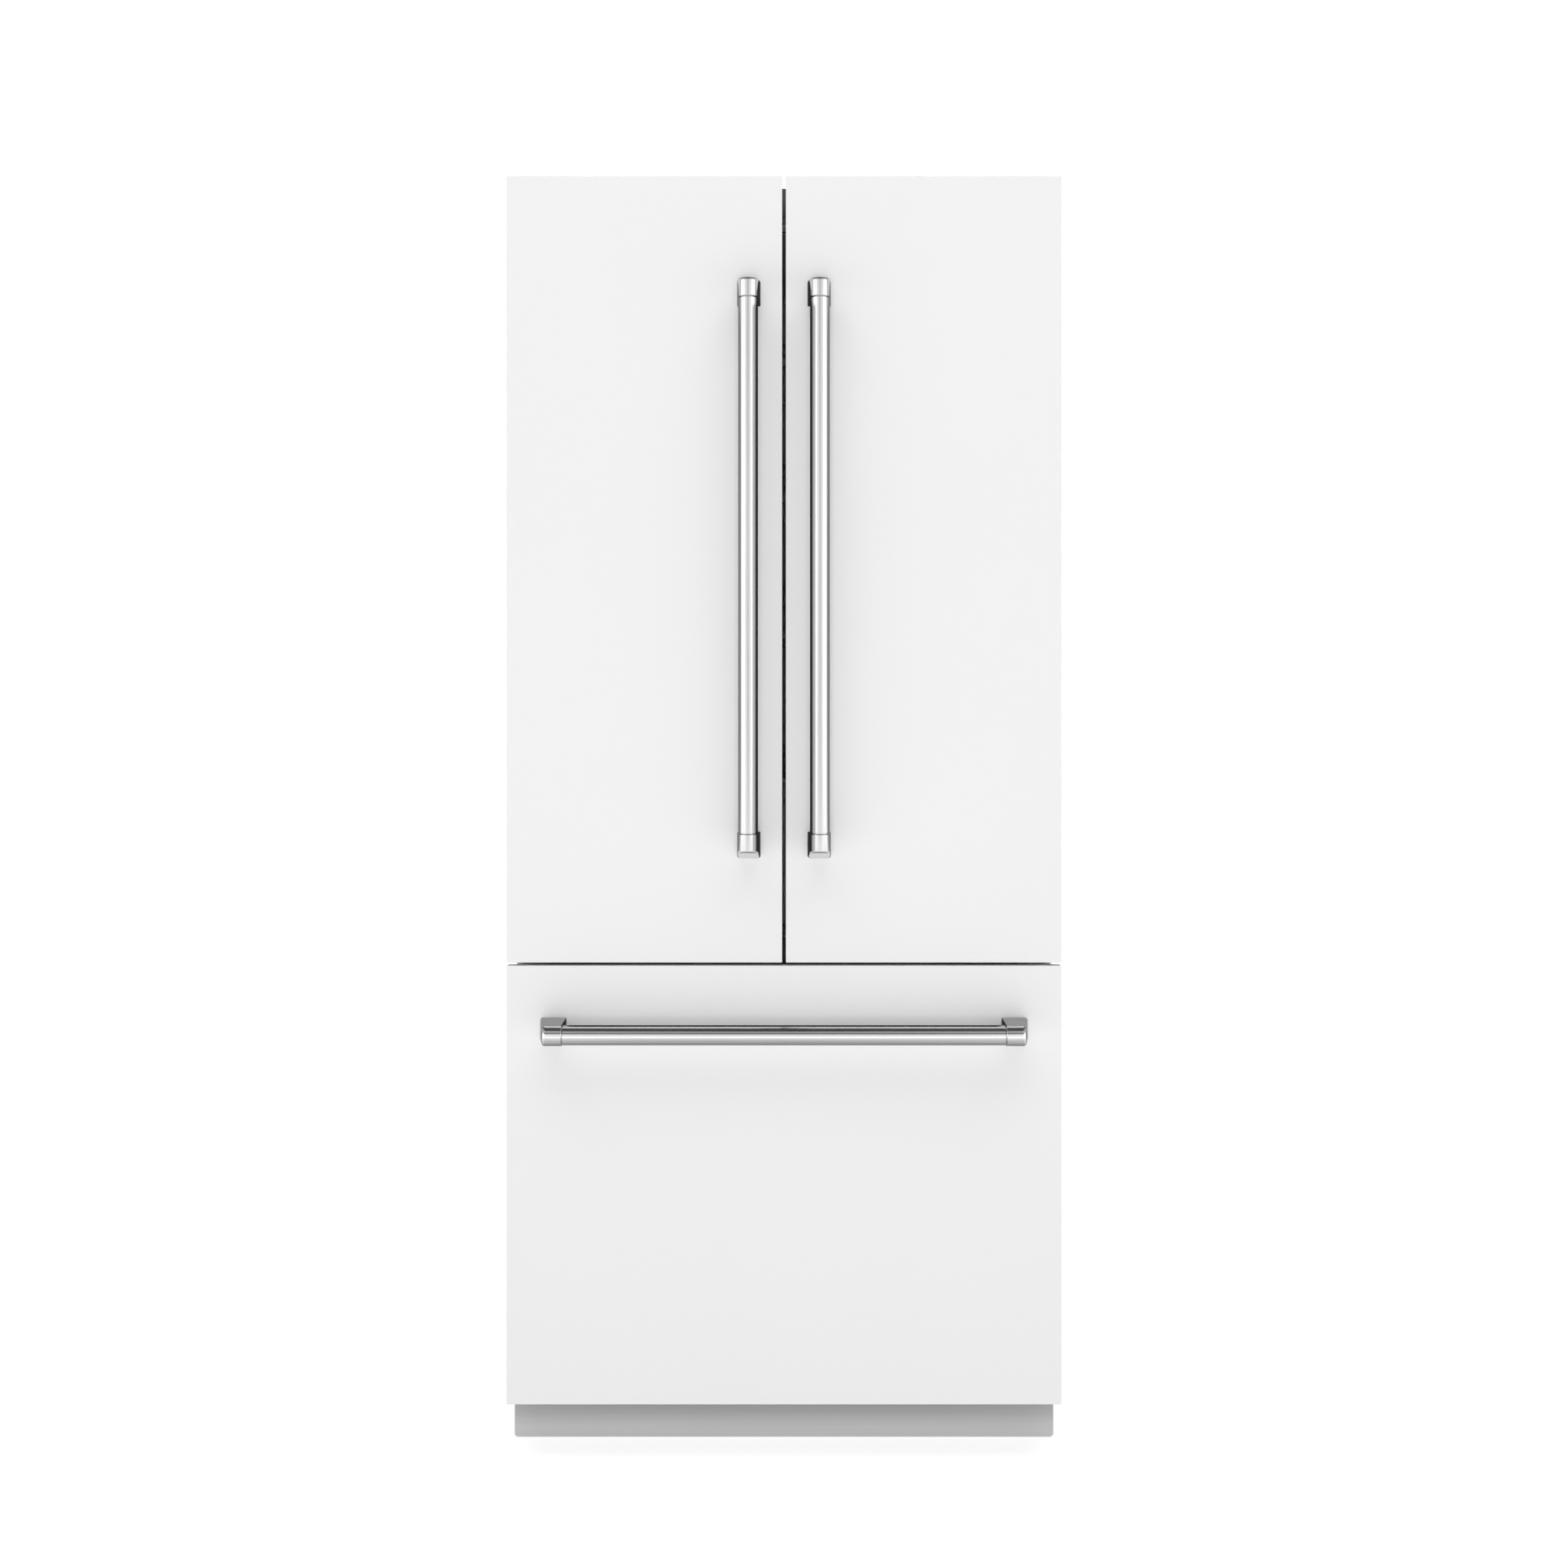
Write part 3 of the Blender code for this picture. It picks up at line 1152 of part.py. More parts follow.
def bin_limits(side):
    near = side * (DYKE_OUT[0] + DYKE_WALL + BIN_SIDE_GAP)
    far = side * (DYKE_OUT[1] - DYKE_WALL - BIN_SIDE_GAP)
    return (min(near, far), max(near, far)), (BIN_FRONT, BIN_FRONT + BIN_DEPTH)


def make_bin(name, look, side, level, ears=(), holes=()):
    x, depth = bin_limits(side)
    tub = box(x, depth, (level, level + BIN_HEIGHT))
    inside = box(
        (x[0] + BIN_WALL, x[1] - BIN_WALL),
        (depth[0] + BIN_WALL, depth[1] - BIN_WALL),
        (level + BIN_WALL, CABINET_HEIGHT),
    )
    made = solid(name, look, [tub, *ears], [inside])
    combine(made, "DIFFERENCE", holes)
    return made


def make_dairy(looks, level, door_axis):
    """The covered bin and its lid, whose pins turn in ears on the bin's sides."""
    x, depth = bin_limits(1)
    pin_depth = depth[0] + LID_PIN_SETBACK
    pin_level = level + BIN_HEIGHT + FIT + LID_THICK / 2
    ears = []
    ear_depths = (pin_depth - LID_EAR, pin_depth + LID_EAR)
    for wall in ((x[0], x[0] + BIN_WALL), (x[1] - BIN_WALL, x[1])):
        ears.append(box(wall, ear_depths, (level + BIN_HEIGHT / 2, pin_level + LID_EAR)))
    pin_axis = (pin_depth, pin_level)
    hole = cylinder("x", pin_axis, LID_PIN_RADIUS + RUNNING_GAP, (x[0] - LID_EAR, x[1] + LID_EAR))
    dairy_bin = make_bin("dairy_bin", looks["clear"], 1, level, ears, [hole])

    radius = LID_THICK / 2
    steps = 6
    outline = []
    for index in range(steps + 1):
        angle = math.pi / 2 + math.pi * index / steps
        outline.append((pin_depth + radius * math.cos(angle), pin_level + radius * math.sin(angle)))
    outline += [(depth[1] - BIN_WALL, pin_level - radius), (depth[1] - BIN_WALL, pin_level + radius)]
    inner = (x[0] + BIN_WALL + BIN_SIDE_GAP, x[1] - BIN_WALL - BIN_SIDE_GAP)
    plate = prism(outline, "x", inner)
    pin_end = BIN_WALL / 2 + BIN_SIDE_GAP
    pin = cylinder("x", pin_axis, LID_PIN_RADIUS * 0.8, (inner[0] - pin_end, inner[1] + pin_end))
    lid = solid("dairy_lid", looks["clear"], [plate, pin])
    pivot("dairy_lid_axis", at(x[0], pin_depth, pin_level), [lid], door_axis)
    return dairy_bin


def make_door(looks, side, word):
    near = DOOR_GAP / 2
    panel = solid(
        f"{word}_door_panel",
        looks["panel"],
        [box((side * near, side * HALF_WIDTH), (0, PANEL_THICK), (DOOR_BOTTOM, DOOR_TOP))],
    )
    body_x = (side * (near + BODY_INSET), side * (HALF_WIDTH - BODY_INSET))
    slab = box(body_x, (PANEL_THICK + FIT, DOOR_THICK), (BODY_BOTTOM, BODY_TOP))
    dyke_x = (side * DYKE_OUT[0], side * DYKE_OUT[1])
    dyke = box(dyke_x, (DOOR_THICK - DYKE_RECESS / 2, DOOR_THICK + DYKE_DEPTH), DYKE_LEVELS)
    recess = box(
        (side * (DYKE_OUT[0] + DYKE_WALL), side * (DYKE_OUT[1] - DYKE_WALL)),
        (DOOR_THICK - DYKE_RECESS, DOOR_THICK + 2 * DYKE_DEPTH),
        (DYKE_LEVELS[0] + DYKE_WALL, DYKE_LEVELS[1] - DYKE_WALL),
    )
    centre = (side * PIVOT_X, PIVOT_DEPTH)
    hole_radius = PIN_RADIUS + RUNNING_GAP
    depth_of_hole = PIN_REACH + PIN_END_GAP
    top_hole = cylinder("z", centre, hole_radius, (BODY_TOP - depth_of_hole, BODY_TOP + depth_of_hole))
    low_levels = (BODY_BOTTOM - depth_of_hole, BODY_BOTTOM + depth_of_hole)
    low_hole = cylinder("z", centre, hole_radius, low_levels)
    body = solid(f"{word}_door_body", looks["liner"], [slab, dyke], [recess, top_hole, low_hole])
    if side < 0:
        combine(body, "UNION", mullion_lugs())

    bin_levels = BIN_LEVELS if side < 0 else RIGHT_BIN_LEVELS
    x, _ = bin_limits(side)
    ledges = []
    reach = BIN_SIDE_GAP * 4
    ledge_depths = (DOOR_THICK - DYKE_RECESS - BIN_SIDE_GAP, DOOR_THICK + DYKE_DEPTH - BIN_SIDE_GAP)
    for level in bin_levels.values():
        for across in ((x[0] - reach, x[0] + LEDGE_WIDTH), (x[1] - LEDGE_WIDTH, x[1] + reach)):
            ledges.append(box(across, ledge_depths, (level - FIT - LEDGE_HEIGHT, level - FIT)))
    combine(body, "UNION", ledges)

    seal = gasket(
        f"{word}_door_gasket",
        looks["gasket"],
        (body_x[0], side * (HALF_WIDTH - BODY_INSET - GASKET_INSET)),
        (BODY_BOTTOM + GASKET_INSET, BODY_TOP - GASKET_INSET),
    )
    bar_x = side * DOOR_HANDLE_OFFSET
    middle = (DOOR_BOTTOM + DOOR_TOP) / 2
    handles = handle(
        f"{word}_door",
        looks["steel"],
        DOOR_HANDLE_LENGTH,
        lambda across, depth, along: at(bar_x + across, depth, middle + along),
        "bottom",
        "top",
    )
    door_axis = pivot(f"{word}_door_axis", at(*centre, DOOR_BOTTOM), [panel, body, seal, *handles])
    bins = []
    for name, level in bin_levels.items():
        if name == "dairy_bin":
            bins.append(make_dairy(looks, level, door_axis))
        else:
            bins.append(make_bin(name, looks["clear"], side, level))
    for piece in bins:
        piece.parent = door_axis
        piece.location = -door_axis.location
    return door_axis


def main():
    for old in list(bpy.data.objects):
        bpy.data.objects.remove(old, do_unlink=True)
    looks = make_looks()
    make_cabinet(looks)
    make_insulated_body(looks)
    make_base(looks)
    make_toe_kick(looks)
    make_machine_room(looks)
    make_machine_cover(looks)
    make_shelves(looks)
    make_crispers(looks)
    make_air_duct(looks)
    make_freezer_cooling(looks)
    make_ice_maker(looks)
    make_rails(looks)
    make_drawer(looks)
    for side, word in ((-1, "left"), (1, "right")):
        make_hinges(looks, side, word)
        door_axis = make_door(looks, side, word)
        if side < 0:
            make_mullion(looks, door_axis)


main()
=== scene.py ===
import json
import math

import bmesh
import bpy
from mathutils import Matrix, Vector


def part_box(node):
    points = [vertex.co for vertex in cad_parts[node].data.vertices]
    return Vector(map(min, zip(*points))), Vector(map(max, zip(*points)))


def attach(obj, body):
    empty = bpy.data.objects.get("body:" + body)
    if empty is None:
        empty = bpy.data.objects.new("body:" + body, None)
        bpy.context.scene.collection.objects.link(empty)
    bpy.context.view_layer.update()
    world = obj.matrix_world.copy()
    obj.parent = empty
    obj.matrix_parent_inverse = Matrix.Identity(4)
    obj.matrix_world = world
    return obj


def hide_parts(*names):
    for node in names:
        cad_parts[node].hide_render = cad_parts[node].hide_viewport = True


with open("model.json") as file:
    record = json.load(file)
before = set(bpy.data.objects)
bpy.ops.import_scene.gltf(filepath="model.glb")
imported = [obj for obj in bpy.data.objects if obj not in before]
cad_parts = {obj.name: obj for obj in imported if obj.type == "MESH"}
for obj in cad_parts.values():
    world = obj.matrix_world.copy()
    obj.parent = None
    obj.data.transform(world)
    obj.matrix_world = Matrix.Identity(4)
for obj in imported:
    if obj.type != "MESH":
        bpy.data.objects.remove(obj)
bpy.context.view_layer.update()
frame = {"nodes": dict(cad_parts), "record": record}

bodyNodes = {
    name: entry if isinstance(entry, list) else entry.get("nodes", [])
    for name, entry in frame["record"]["behaviour"]["bodies"].items()
}


# Shader nodes. A Wire is an output that can be used in sums and products.
class Wire:
    def __init__(self, graph, socket):
        self.graph = graph
        self.socket = socket

    def maths(self, operation, *values):
        return self.graph.node("Math", {"operation": operation}, dict(enumerate(values)))

    def __add__(self, other):
        return self.maths("ADD", self, other)

    def __radd__(self, other):
        return self.maths("ADD", other, self)

    def __sub__(self, other):
        return self.maths("SUBTRACT", self, other)

    def __rsub__(self, other):
        return self.maths("SUBTRACT", other, self)

    def __mul__(self, other):
        return self.maths("MULTIPLY", self, other)

    def __rmul__(self, other):
        return self.maths("MULTIPLY", other, self)


class Graph:
    # a node tree, filled one node at a time
    def __init__(self, tree):
        self.tree = tree

    def node(self, kind, settings, inputs, output=0):
        made = self.tree.nodes.new("ShaderNode" + kind)
        for key, value in settings.items():
            if key == "stops":
                ramp = made.color_ramp.elements
                while len(ramp) < len(value):
                    ramp.new(0.5)
                for element, (position, level) in zip(ramp, value):
                    element.position = position
                    element.color = (level, level, level, 1.0)
            else:
                setattr(made, key, value)
        for key, value in inputs.items():
            self.put(made.inputs[key], value)
        return Wire(self, made.outputs[output])

    def put(self, socket, value):
        if isinstance(value, Wire):
            self.tree.links.new(value.socket, socket)
        else:
            socket.default_value = value

    def ramp(self, value, *stops):
        return self.node("ValToRGB", {"stops": stops}, {0: value})


class Finish(Graph):
    # one material: plain values go straight on its shader, patterns come from node()
    def __init__(self, name, colour, roughness, metal=0.0, **plain):
        self.material = bpy.data.materials.new(name)
        self.material.use_nodes = True
        super().__init__(self.material.node_tree)
        self.shader = self.tree.nodes["Principled BSDF"]
        self.colour = colour
        self.feed("Base Color", (*colour, 1.0))
        self.feed("Roughness", roughness)
        self.feed("Metallic", metal)
        for socket, value in plain.items():
            self.feed(socket.replace("_", " "), value)
        self.place = self.node("TexCoord", {}, {}, "Object")

    def feed(self, socket, value):
        self.put(self.shader.inputs[socket], value)

    def stretched(self, x, y, z):
        # the piece's own coordinates, scaled on each axis: small numbers make long streaks
        return self.node("VectorMath", {"operation": "MULTIPLY"}, {0: self.place, 1: (x, y, z)})

    def noise(self, scale, detail=2.0, where=None, roughness=0.5):
        inputs = {"Vector": where or self.place, "Scale": scale, "Detail": detail}
        return self.node("TexNoise", {}, {**inputs, "Roughness": roughness})

    def tint(self, share, first, second):
        colours = {"Factor": share, 6: (*first, 1.0), 7: (*second, 1.0)}
        return self.node("Mix", {"data_type": "RGBA"}, colours, 2)

    def bump(self, height, strength, distance):
        inputs = {"Height": height, "Strength": strength, "Distance": distance}
        self.feed("Normal", self.node("Bump", {}, inputs))

    def shades(self, share, low, high):
        # the finish's colour between a darker and a lighter version of itself
        dark = [part * low for part in self.colour]
        light = [min(part * high, 1.0) for part in self.colour]
        self.feed("Base Color", self.tint(share, dark, light))


# Finishes. Noise scales are in waves to the metre, and bump depths are in metres.
def panelPaint(name):
    look = {"colour": (0.80, 0.80, 0.80), "rough": 0.42, "peel": 520.0, "peelDepth": 0.0004}
    finish = Finish(name, look["colour"], look["rough"], Specular_IOR_Level=0.35)
    peel = finish.noise(look["peel"], 2.0)
    cloud = finish.noise(3.0, 3.0)
    finish.shades(cloud, 0.992, 1.008)
    finish.feed("Roughness", look["rough"] - 0.05 + 0.10 * peel)
    finish.bump(peel, 0.10, look["peelDepth"])
    return finish


brushLook = {
    "hair": 2600.0,
    "hairLength": 0.012,
    "band": 1500.0,
    "bandWidth": 0.32,
    "bandLength": 0.002,
}


def brushedSteel(name, along, colour, rough, streak, bump=0.10, metal=1.0):
    # along is the axis that the brushing runs on
    look = brushLook
    finish = Finish(name, colour, rough, metal)
    fine, wide = [1.0] * 3, [look["bandWidth"]] * 3
    fine[along], wide[along] = look["hairLength"], look["bandLength"]
    hair = finish.noise(look["hair"], 3.0, finish.stretched(*fine), 0.65)
    band = finish.noise(look["band"], 1.0, finish.stretched(*wide))
    smudge = finish.noise(14.0, 3.0)
    finish.shades(0.55 * hair + 0.45 * band, 1.0 - streak, 1.0 + streak)
    finish.feed("Roughness", rough - 0.07 + 0.10 * hair + 0.06 * smudge)
    finish.bump(hair, bump, 0.00012)
    return finish


def wrapperPaint(name, colour):
    finish = Finish(name, colour, 0.5)
    grain = finish.noise(900.0, 2.0)
    cloud = finish.noise(2.5, 4.0)
    finish.shades(0.6 * cloud + 0.4 * grain, 0.95, 1.05)
    finish.feed("Roughness", 0.42 + 0.2 * grain)
    finish.bump(grain, 0.25, 0.0004)
    return finish


def galvanised(name):
    finish = Finish(name, (0.56, 0.58, 0.60), 0.42, 0.9)
    spangle = finish.node("TexVoronoi", {}, {"Vector": finish.place, "Scale": 150.0}, "Color")
    shade = finish.node("SeparateColor", {}, {0: spangle})
    cloud = finish.noise(5.0, 4.0)
    finish.shades(0.45 * shade + 0.55 * cloud, 0.84, 1.10)
    finish.feed("Roughness", 0.34 + 0.14 * shade)
    return finish


def mouldedPlastic(name, colour, rough, grain=700.0, strength=0.06):
    finish = Finish(name, colour, rough)
    pits = finish.noise(grain, 2.0)
    flow = finish.noise(7.0, 3.0)
    finish.shades(0.7 * flow + 0.3 * pits, 0.975, 1.02)
    finish.feed("Roughness", rough - 0.05 + 0.08 * flow + 0.05 * pits)
    finish.bump(pits, strength, 0.0003)
    return finish


def clearPlastic(name, colour, rough, ior=1.49):
    finish = Finish(name, colour, rough, Transmission_Weight=1.0, IOR=ior)
    flow = finish.noise(11.0, 2.0)
    finish.shades(flow, 0.97, 1.03)
    finish.feed("Roughness", rough + 0.05 * flow)
    return finish


def castMetal(name, colour, rough, grain=300.0, metal=1.0):
    finish = Finish(name, colour, rough, metal)
    pits = finish.noise(grain, 3.0)
    cloud = finish.noise(20.0, 4.0)
    finish.shades(0.6 * cloud + 0.4 * pits, 0.85, 1.12)
    finish.feed("Roughness", rough - 0.08 + 0.16 * cloud)
    finish.bump(pits, 0.15, 0.0003)
    return finish


def lightLens(name):
    look = {"colour": (0.92, 0.94, 0.95), "glow": 0.25, "ribs": 160.0, "cool": (0.86, 0.93, 1.0)}
    finish = Finish(name, look["colour"], 0.35, Emission_Strength=look["glow"])
    inputs = {"Vector": finish.place, "Scale": look["ribs"]}
    ribs = finish.node("TexWave", {"bands_direction": "X"}, inputs)
    finish.feed("Emission Color", finish.tint(ribs, look["cool"], (1.0, 1.0, 1.0)))
    finish.shades(ribs, 0.96, 1.02)
    return finish


paint = panelPaint("panel_paint")
# the handle steel comes in two copies: the drawer bar's copy is lighter than the door bars',
# painted light that brightens the whole bar
uprightSteel = brushedSteel("upright_steel", 2, (0.64, 0.64, 0.65), 0.17, 0.30)
crosswiseSteelPaintedLighter = brushedSteel("crosswise_steel_painted_lighter", 0, (0.86, 0.86, 0.87), 0.17, 0.30)
toeSteel = brushedSteel("toe_steel", 0, (0.60, 0.60, 0.605), 0.55, 0.10, 0.08, 0.25)
sheetPaint = wrapperPaint("wrapper_grey", (0.56, 0.57, 0.58))
# dark paint for the front frame and the door skins: painted shade, so the gaps between the doors
# read dark
gapShadePaint = wrapperPaint("frame_dark_gap_shade", (0.075, 0.076, 0.078))
zincSheet = galvanised("zinc_sheet")
linerWhite = mouldedPlastic("liner_white", (0.78, 0.79, 0.79), 0.22)
doorLinerWhite = mouldedPlastic("door_liner_white", (0.76, 0.77, 0.77), 0.24)
sealRubber = mouldedPlastic("seal_rubber", (0.045, 0.046, 0.048), 0.55, 900.0, 0.2)
blackShell = castMetal("black_shell", (0.012, 0.012, 0.013), 0.32, 500.0, 0.0)
brightZinc = castMetal("bright_zinc", (0.60, 0.61, 0.62), 0.30)
finMetal = brushedSteel("fin_metal", 2, (0.70, 0.71, 0.72), 0.32, 0.14)
paneGlass = clearPlastic("pane_glass", (0.93, 0.98, 0.96), 0.0, 1.50)
binClear = clearPlastic("bin_clear", (0.95, 0.97, 0.98), 0.03)
crisperClear = clearPlastic("crisper_clear", (0.90, 0.94, 0.97), 0.06)
trimWhite = mouldedPlastic("trim_white", (0.80, 0.81, 0.81), 0.28)
basketWhite = mouldedPlastic("basket_white", (0.74, 0.75, 0.76), 0.34)
nylonGrey = mouldedPlastic("nylon_grey", (0.30, 0.30, 0.31), 0.5)
# black plastic; on the ice maker the same black is painted shade for the vent slots
blackPlasticAndSlotShade = mouldedPlastic("black_plastic_and_slot_shade", (0.03, 0.03, 0.032), 0.42)
screwSteel = castMetal("screw_steel", (0.55, 0.55, 0.56), 0.28)
lampLens = lightLens("lamp_lens")
print("finishes made")


# Shapes. Each returns a closed bmesh with its faces pointing out.
def bevel(shape, edges, width, steps):
    settings = {"profile": 0.5, "affect": "EDGES", "clamp_overlap": True}
    bmesh.ops.bevel(shape, geom=edges, offset=width, segments=steps, **settings)


def soften(shape, width, steps, angle=30.0):
    # rounds every edge that turns by more than the angle
    limit = math.radians(angle)
    edges = [edge for edge in shape.edges if edge.calc_face_angle(0.0) > limit]
    if width > 0 and edges:
        bevel(shape, edges, width, steps)
    return shape


def block(low, high, width, steps=3):
    shape = bmesh.new()
    bmesh.ops.create_cube(shape, size=1.0)
    low, high = Vector(low), Vector(high)
    for vertex in shape.verts:
        vertex.co = Vector([a + (b - a) * (c + 0.5) for a, b, c in zip(low, high, vertex.co)])
    return soften(shape, width, steps)


def joinRings(shape, rings, looped=False):
    # a skin over rings of vertices, with a face on each end unless it is looped
    pairs = list(zip(rings, rings[1:]))
    if looped:
        pairs.append((rings[-1], rings[0]))
    else:
        shape.faces.new(rings[0])
        shape.faces.new(rings[-1])
    for first, second in pairs:
        for index in range(len(first)):
            shape.faces.new((first[index - 1], first[index], second[index], second[index - 1]))
    bmesh.ops.recalc_face_normals(shape, faces=shape.faces)
    return shape


def loft(rings, looped=False):
    # the same skin over rings of points
    shape = bmesh.new()
    made = [[shape.verts.new(point) for point in ring] for ring in rings]
    return joinRings(shape, made, looped)


def pointOn(axis, along, first, second):
    # first and second are the other two coordinates, in X, Y, Z order
    spot = [first, second]
    spot.insert(axis, along)
    return Vector(spot)


def extruded(outline, axis, start, end, width=0.0, steps=2, angle=30.0):
    rings = [[pointOn(axis, along, *pair) for pair in outline] for along in (start, end)]
    return soften(loft(rings), width, steps, angle)


def circlePoints(radius, sides, middle=(0.0, 0.0)):
    turns = [2 * math.pi * index / sides for index in range(sides)]
    x, y = middle
    return [(x + radius * math.cos(turn), y + radius * math.sin(turn)) for turn in turns]


def quarterTurns(steps):
    return [math.pi / 2 * index / steps for index in range(steps + 1)]


def lathe(profile, centre, axis, sides=48, looped=False):
    # profile: (radius, along) pairs, and a looped one is a ring
    middle = Vector(centre)
    rings = []
    for radius, along in profile:
        rings.append([pointOn(axis, along, *pair) + middle for pair in circlePoints(radius, sides)])
    return loft(rings, looped)


def mitred(low, high, section):
    # a picture frame in the X-Z plane: section is (inset, y) pairs
    rings = []
    for right, up in ((0, 0), (1, 0), (1, 1), (0, 1)):
        ring = []
        for inset, y in section:
            x = high[0] - inset if right else low[0] + inset
            z = high[1] - inset if up else low[1] + inset
            ring.append((x, y, z))
        rings.append(ring)
    return loft(rings, True)


def wire(points, radius, sides):
    # a bent rod through the points
    points = [Vector(point) for point in points]
    rings, side = [], None
    for index, point in enumerate(points):
        before = points[max(index - 1, 0)]
        after = points[min(index + 1, len(points) - 1)]
        forward = (after - before).normalized()
        if side is None:
            side = forward.orthogonal().normalized()
        side = (side - side.dot(forward) * forward).normalized()
        other = forward.cross(side)
        rings.append([point + side * a + other * b for a, b in circlePoints(radius, sides)])
    return loft(rings)


copyLook = {"weld": 0.000002, "flat": 0.6, "round": 40.0, "sharp": 38.0}  # metres, then degrees


def cadCopy(node, width, steps=2):
    # the node's own solid with its edges rounded
    shape = bmesh.new()
    shape.from_mesh(frame["nodes"][node].data)
    bmesh.ops.remove_doubles(shape, verts=shape.verts, dist=copyLook["weld"])
    flat = math.radians(copyLook["flat"])
    bmesh.ops.dissolve_limit(shape, angle_limit=flat, verts=shape.verts, edges=shape.edges)
    return soften(shape, width, steps, copyLook["round"])


def meshObject(name, parts):
    finishes = []
    whole = bmesh.new()
    for shape, finish, *others in parts:
        # others: a second finish and a test of the faces that get it
        for each in [finish, *others[:1]]:
            if each not in finishes:
                finishes.append(each)
        for face in shape.faces:
            chosen = others[0] if others and others[1](face) else finish
            face.material_index = finishes.index(chosen)
        mesh = bpy.data.meshes.new("part")
        shape.to_mesh(mesh)
        shape.free()
        whole.from_mesh(mesh)
        bpy.data.meshes.remove(mesh)
    mesh = bpy.data.meshes.new(name)
    sharp = math.radians(copyLook["sharp"])
    for edge in whole.edges:
        edge.smooth = edge.calc_face_angle(0.0) < sharp
    for face in whole.faces:
        face.smooth = True
    whole.to_mesh(mesh)
    whole.free()
    for finish in finishes:
        mesh.materials.append(finish.material)
    made = bpy.data.objects.new(name, mesh)
    bpy.context.scene.collection.objects.link(made)
    return made


def piece(name, body, parts, replaces=()):
    made = meshObject(name, parts)
    weighted = made.modifiers.new("even_shading", "WEIGHTED_NORMAL")
    weighted.keep_sharp = True
    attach(made, body)
    if replaces:
        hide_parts(*replaces)


def recoat(finish, *nodes):
    for node in nodes:
        for slot in frame["nodes"][node].material_slots:
            slot.material = finish.material


def bodyOf(node):
    return next(body for body, nodes in bodyNodes.items() if node in nodes)


def roundedCopy(node, ending, finish, width, steps=2):
    # a node that keeps its shape and gains round edges
    piece(node + ending, bodyOf(node), [(cadCopy(node, width, steps), finish)], [node])


# Front panels
panelLook = {"edge": 0.0011, "edgeSteps": 3}
for node in ("left_door_panel", "right_door_panel", "freezer_panel"):
    low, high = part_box(node)
    shape = block(low, high, panelLook["edge"], panelLook["edgeSteps"])
    piece(node + "_painted", bodyOf(node), [(shape, paint)], [node])
print("panels made")


# Handles: a round bar between two posts with round fronts
handleLook = {
    "frontRadius": 0.017,
    "baseHalf": 0.019,
    "frontLength": 0.0295,
    "rounding": 0.004,
    "innerEdge": 0.0011,
    "neckLength": 0.0010,
    "neckDrop": 0.0016,
    "barEdge": 0.0005,
    "barSides": 128,
    "frontSides": 48,
    "footDepth": 0.002,  # the edges on the panel stay sharp
}


def postShape(node, along, outward):
    # along is the bar's axis, outward is +1 or -1 on it
    low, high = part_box(node)
    across = 0 if along == 2 else 2
    middle = (low[across] + high[across]) / 2
    start, end = (low[along], high[along]) if outward > 0 else (high[along], low[along])
    look = handleLook
    radius, sides = look["frontRadius"], look["frontSides"]
    axisY = low.y + radius
    outline = [(look["baseHalf"], high.y)]
    for index in range(sides + 1):
        turn = math.pi * index / sides
        outline.append((radius * math.cos(turn), axisY - radius * math.sin(turn)))
    outline.append((-look["baseHalf"], high.y))
    frontEnd = start + outward * look["frontLength"]
    shape = bmesh.new()
    inner, outer = [], []
    for a, y in outline:
        share = (high.y - y) / (high.y - low.y)
        tip = end + (frontEnd - end) * share
        for ring, spot in ((inner, start), (outer, tip)):
            point = Vector((0.0, y, 0.0))
            point[across] = middle + a
            point[along] = spot
            ring.append(shape.verts.new(point))
    joinRings(shape, [inner, outer])
    outerEdges = [edge for edge in shape.edges if all(vertex in outer for vertex in edge.verts)]
    foot = high.y - look["footDepth"]
    outerEdges = [edge for edge in outerEdges if min(vertex.co.y for vertex in edge.verts) < foot]
    innerEdges = [edge for edge in shape.edges if all(vertex in inner for vertex in edge.verts)]
    bevel(shape, outerEdges, look["rounding"], 6)
    bevel(shape, [edge for edge in innerEdges if edge.is_valid], look["innerEdge"], 3)
    return shape


def barShape(node, along):
    low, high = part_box(node)
    centre = (low + high) / 2
    radius = (high.y - low.y) / 2
    thin, edge = radius - handleLook["neckDrop"], handleLook["barEdge"]
    half = (high[along] - low[along]) / 2
    neck = half - handleLook["neckLength"]
    side = [(thin, half), (thin, neck), (radius - edge, neck), (radius, neck - edge)]
    profile = side + [(r, -a) for r, a in side[::-1]]
    return lathe(profile, centre, along, handleLook["barSides"])


handles = {
    "left_door": (2, uprightSteel, "left_door", ("bottom", -1), ("top", 1)),
    "right_door": (2, uprightSteel, "right_door", ("bottom", -1), ("top", 1)),
    # the drawer bar takes the lighter copy of the steel, which is painted light
    "freezer": (0, crosswiseSteelPaintedLighter, "freezer_drawer", ("left", -1), ("right", 1)),
}
for prefix, (along, steel, body, *ends) in handles.items():
    bar = prefix + "_handle_bar"
    piece(bar + "_steel", body, [(barShape(bar, along), steel)], [bar])
    for word, outward in ends:
        post = f"{prefix}_handle_post_{word}"
        parts = [(postShape(post, along, outward), steel)]
        piece(post + "_steel", body, parts, [post])
print("handles made")


# Rounded tubs, used for bins, drawers and trays
tubLook = {
    "cornerSteps": 6,
    "bottomSteps": 4,
    "smallest": 0.0006,  # corner radius
    "inner": 0.0008,  # smallest bottom radius inside
    "lip": 0.0006,
    "lipShare": 0.3,  # most of the wall that the lip's rounding may take
    "rimEdge": 0.0003,
}


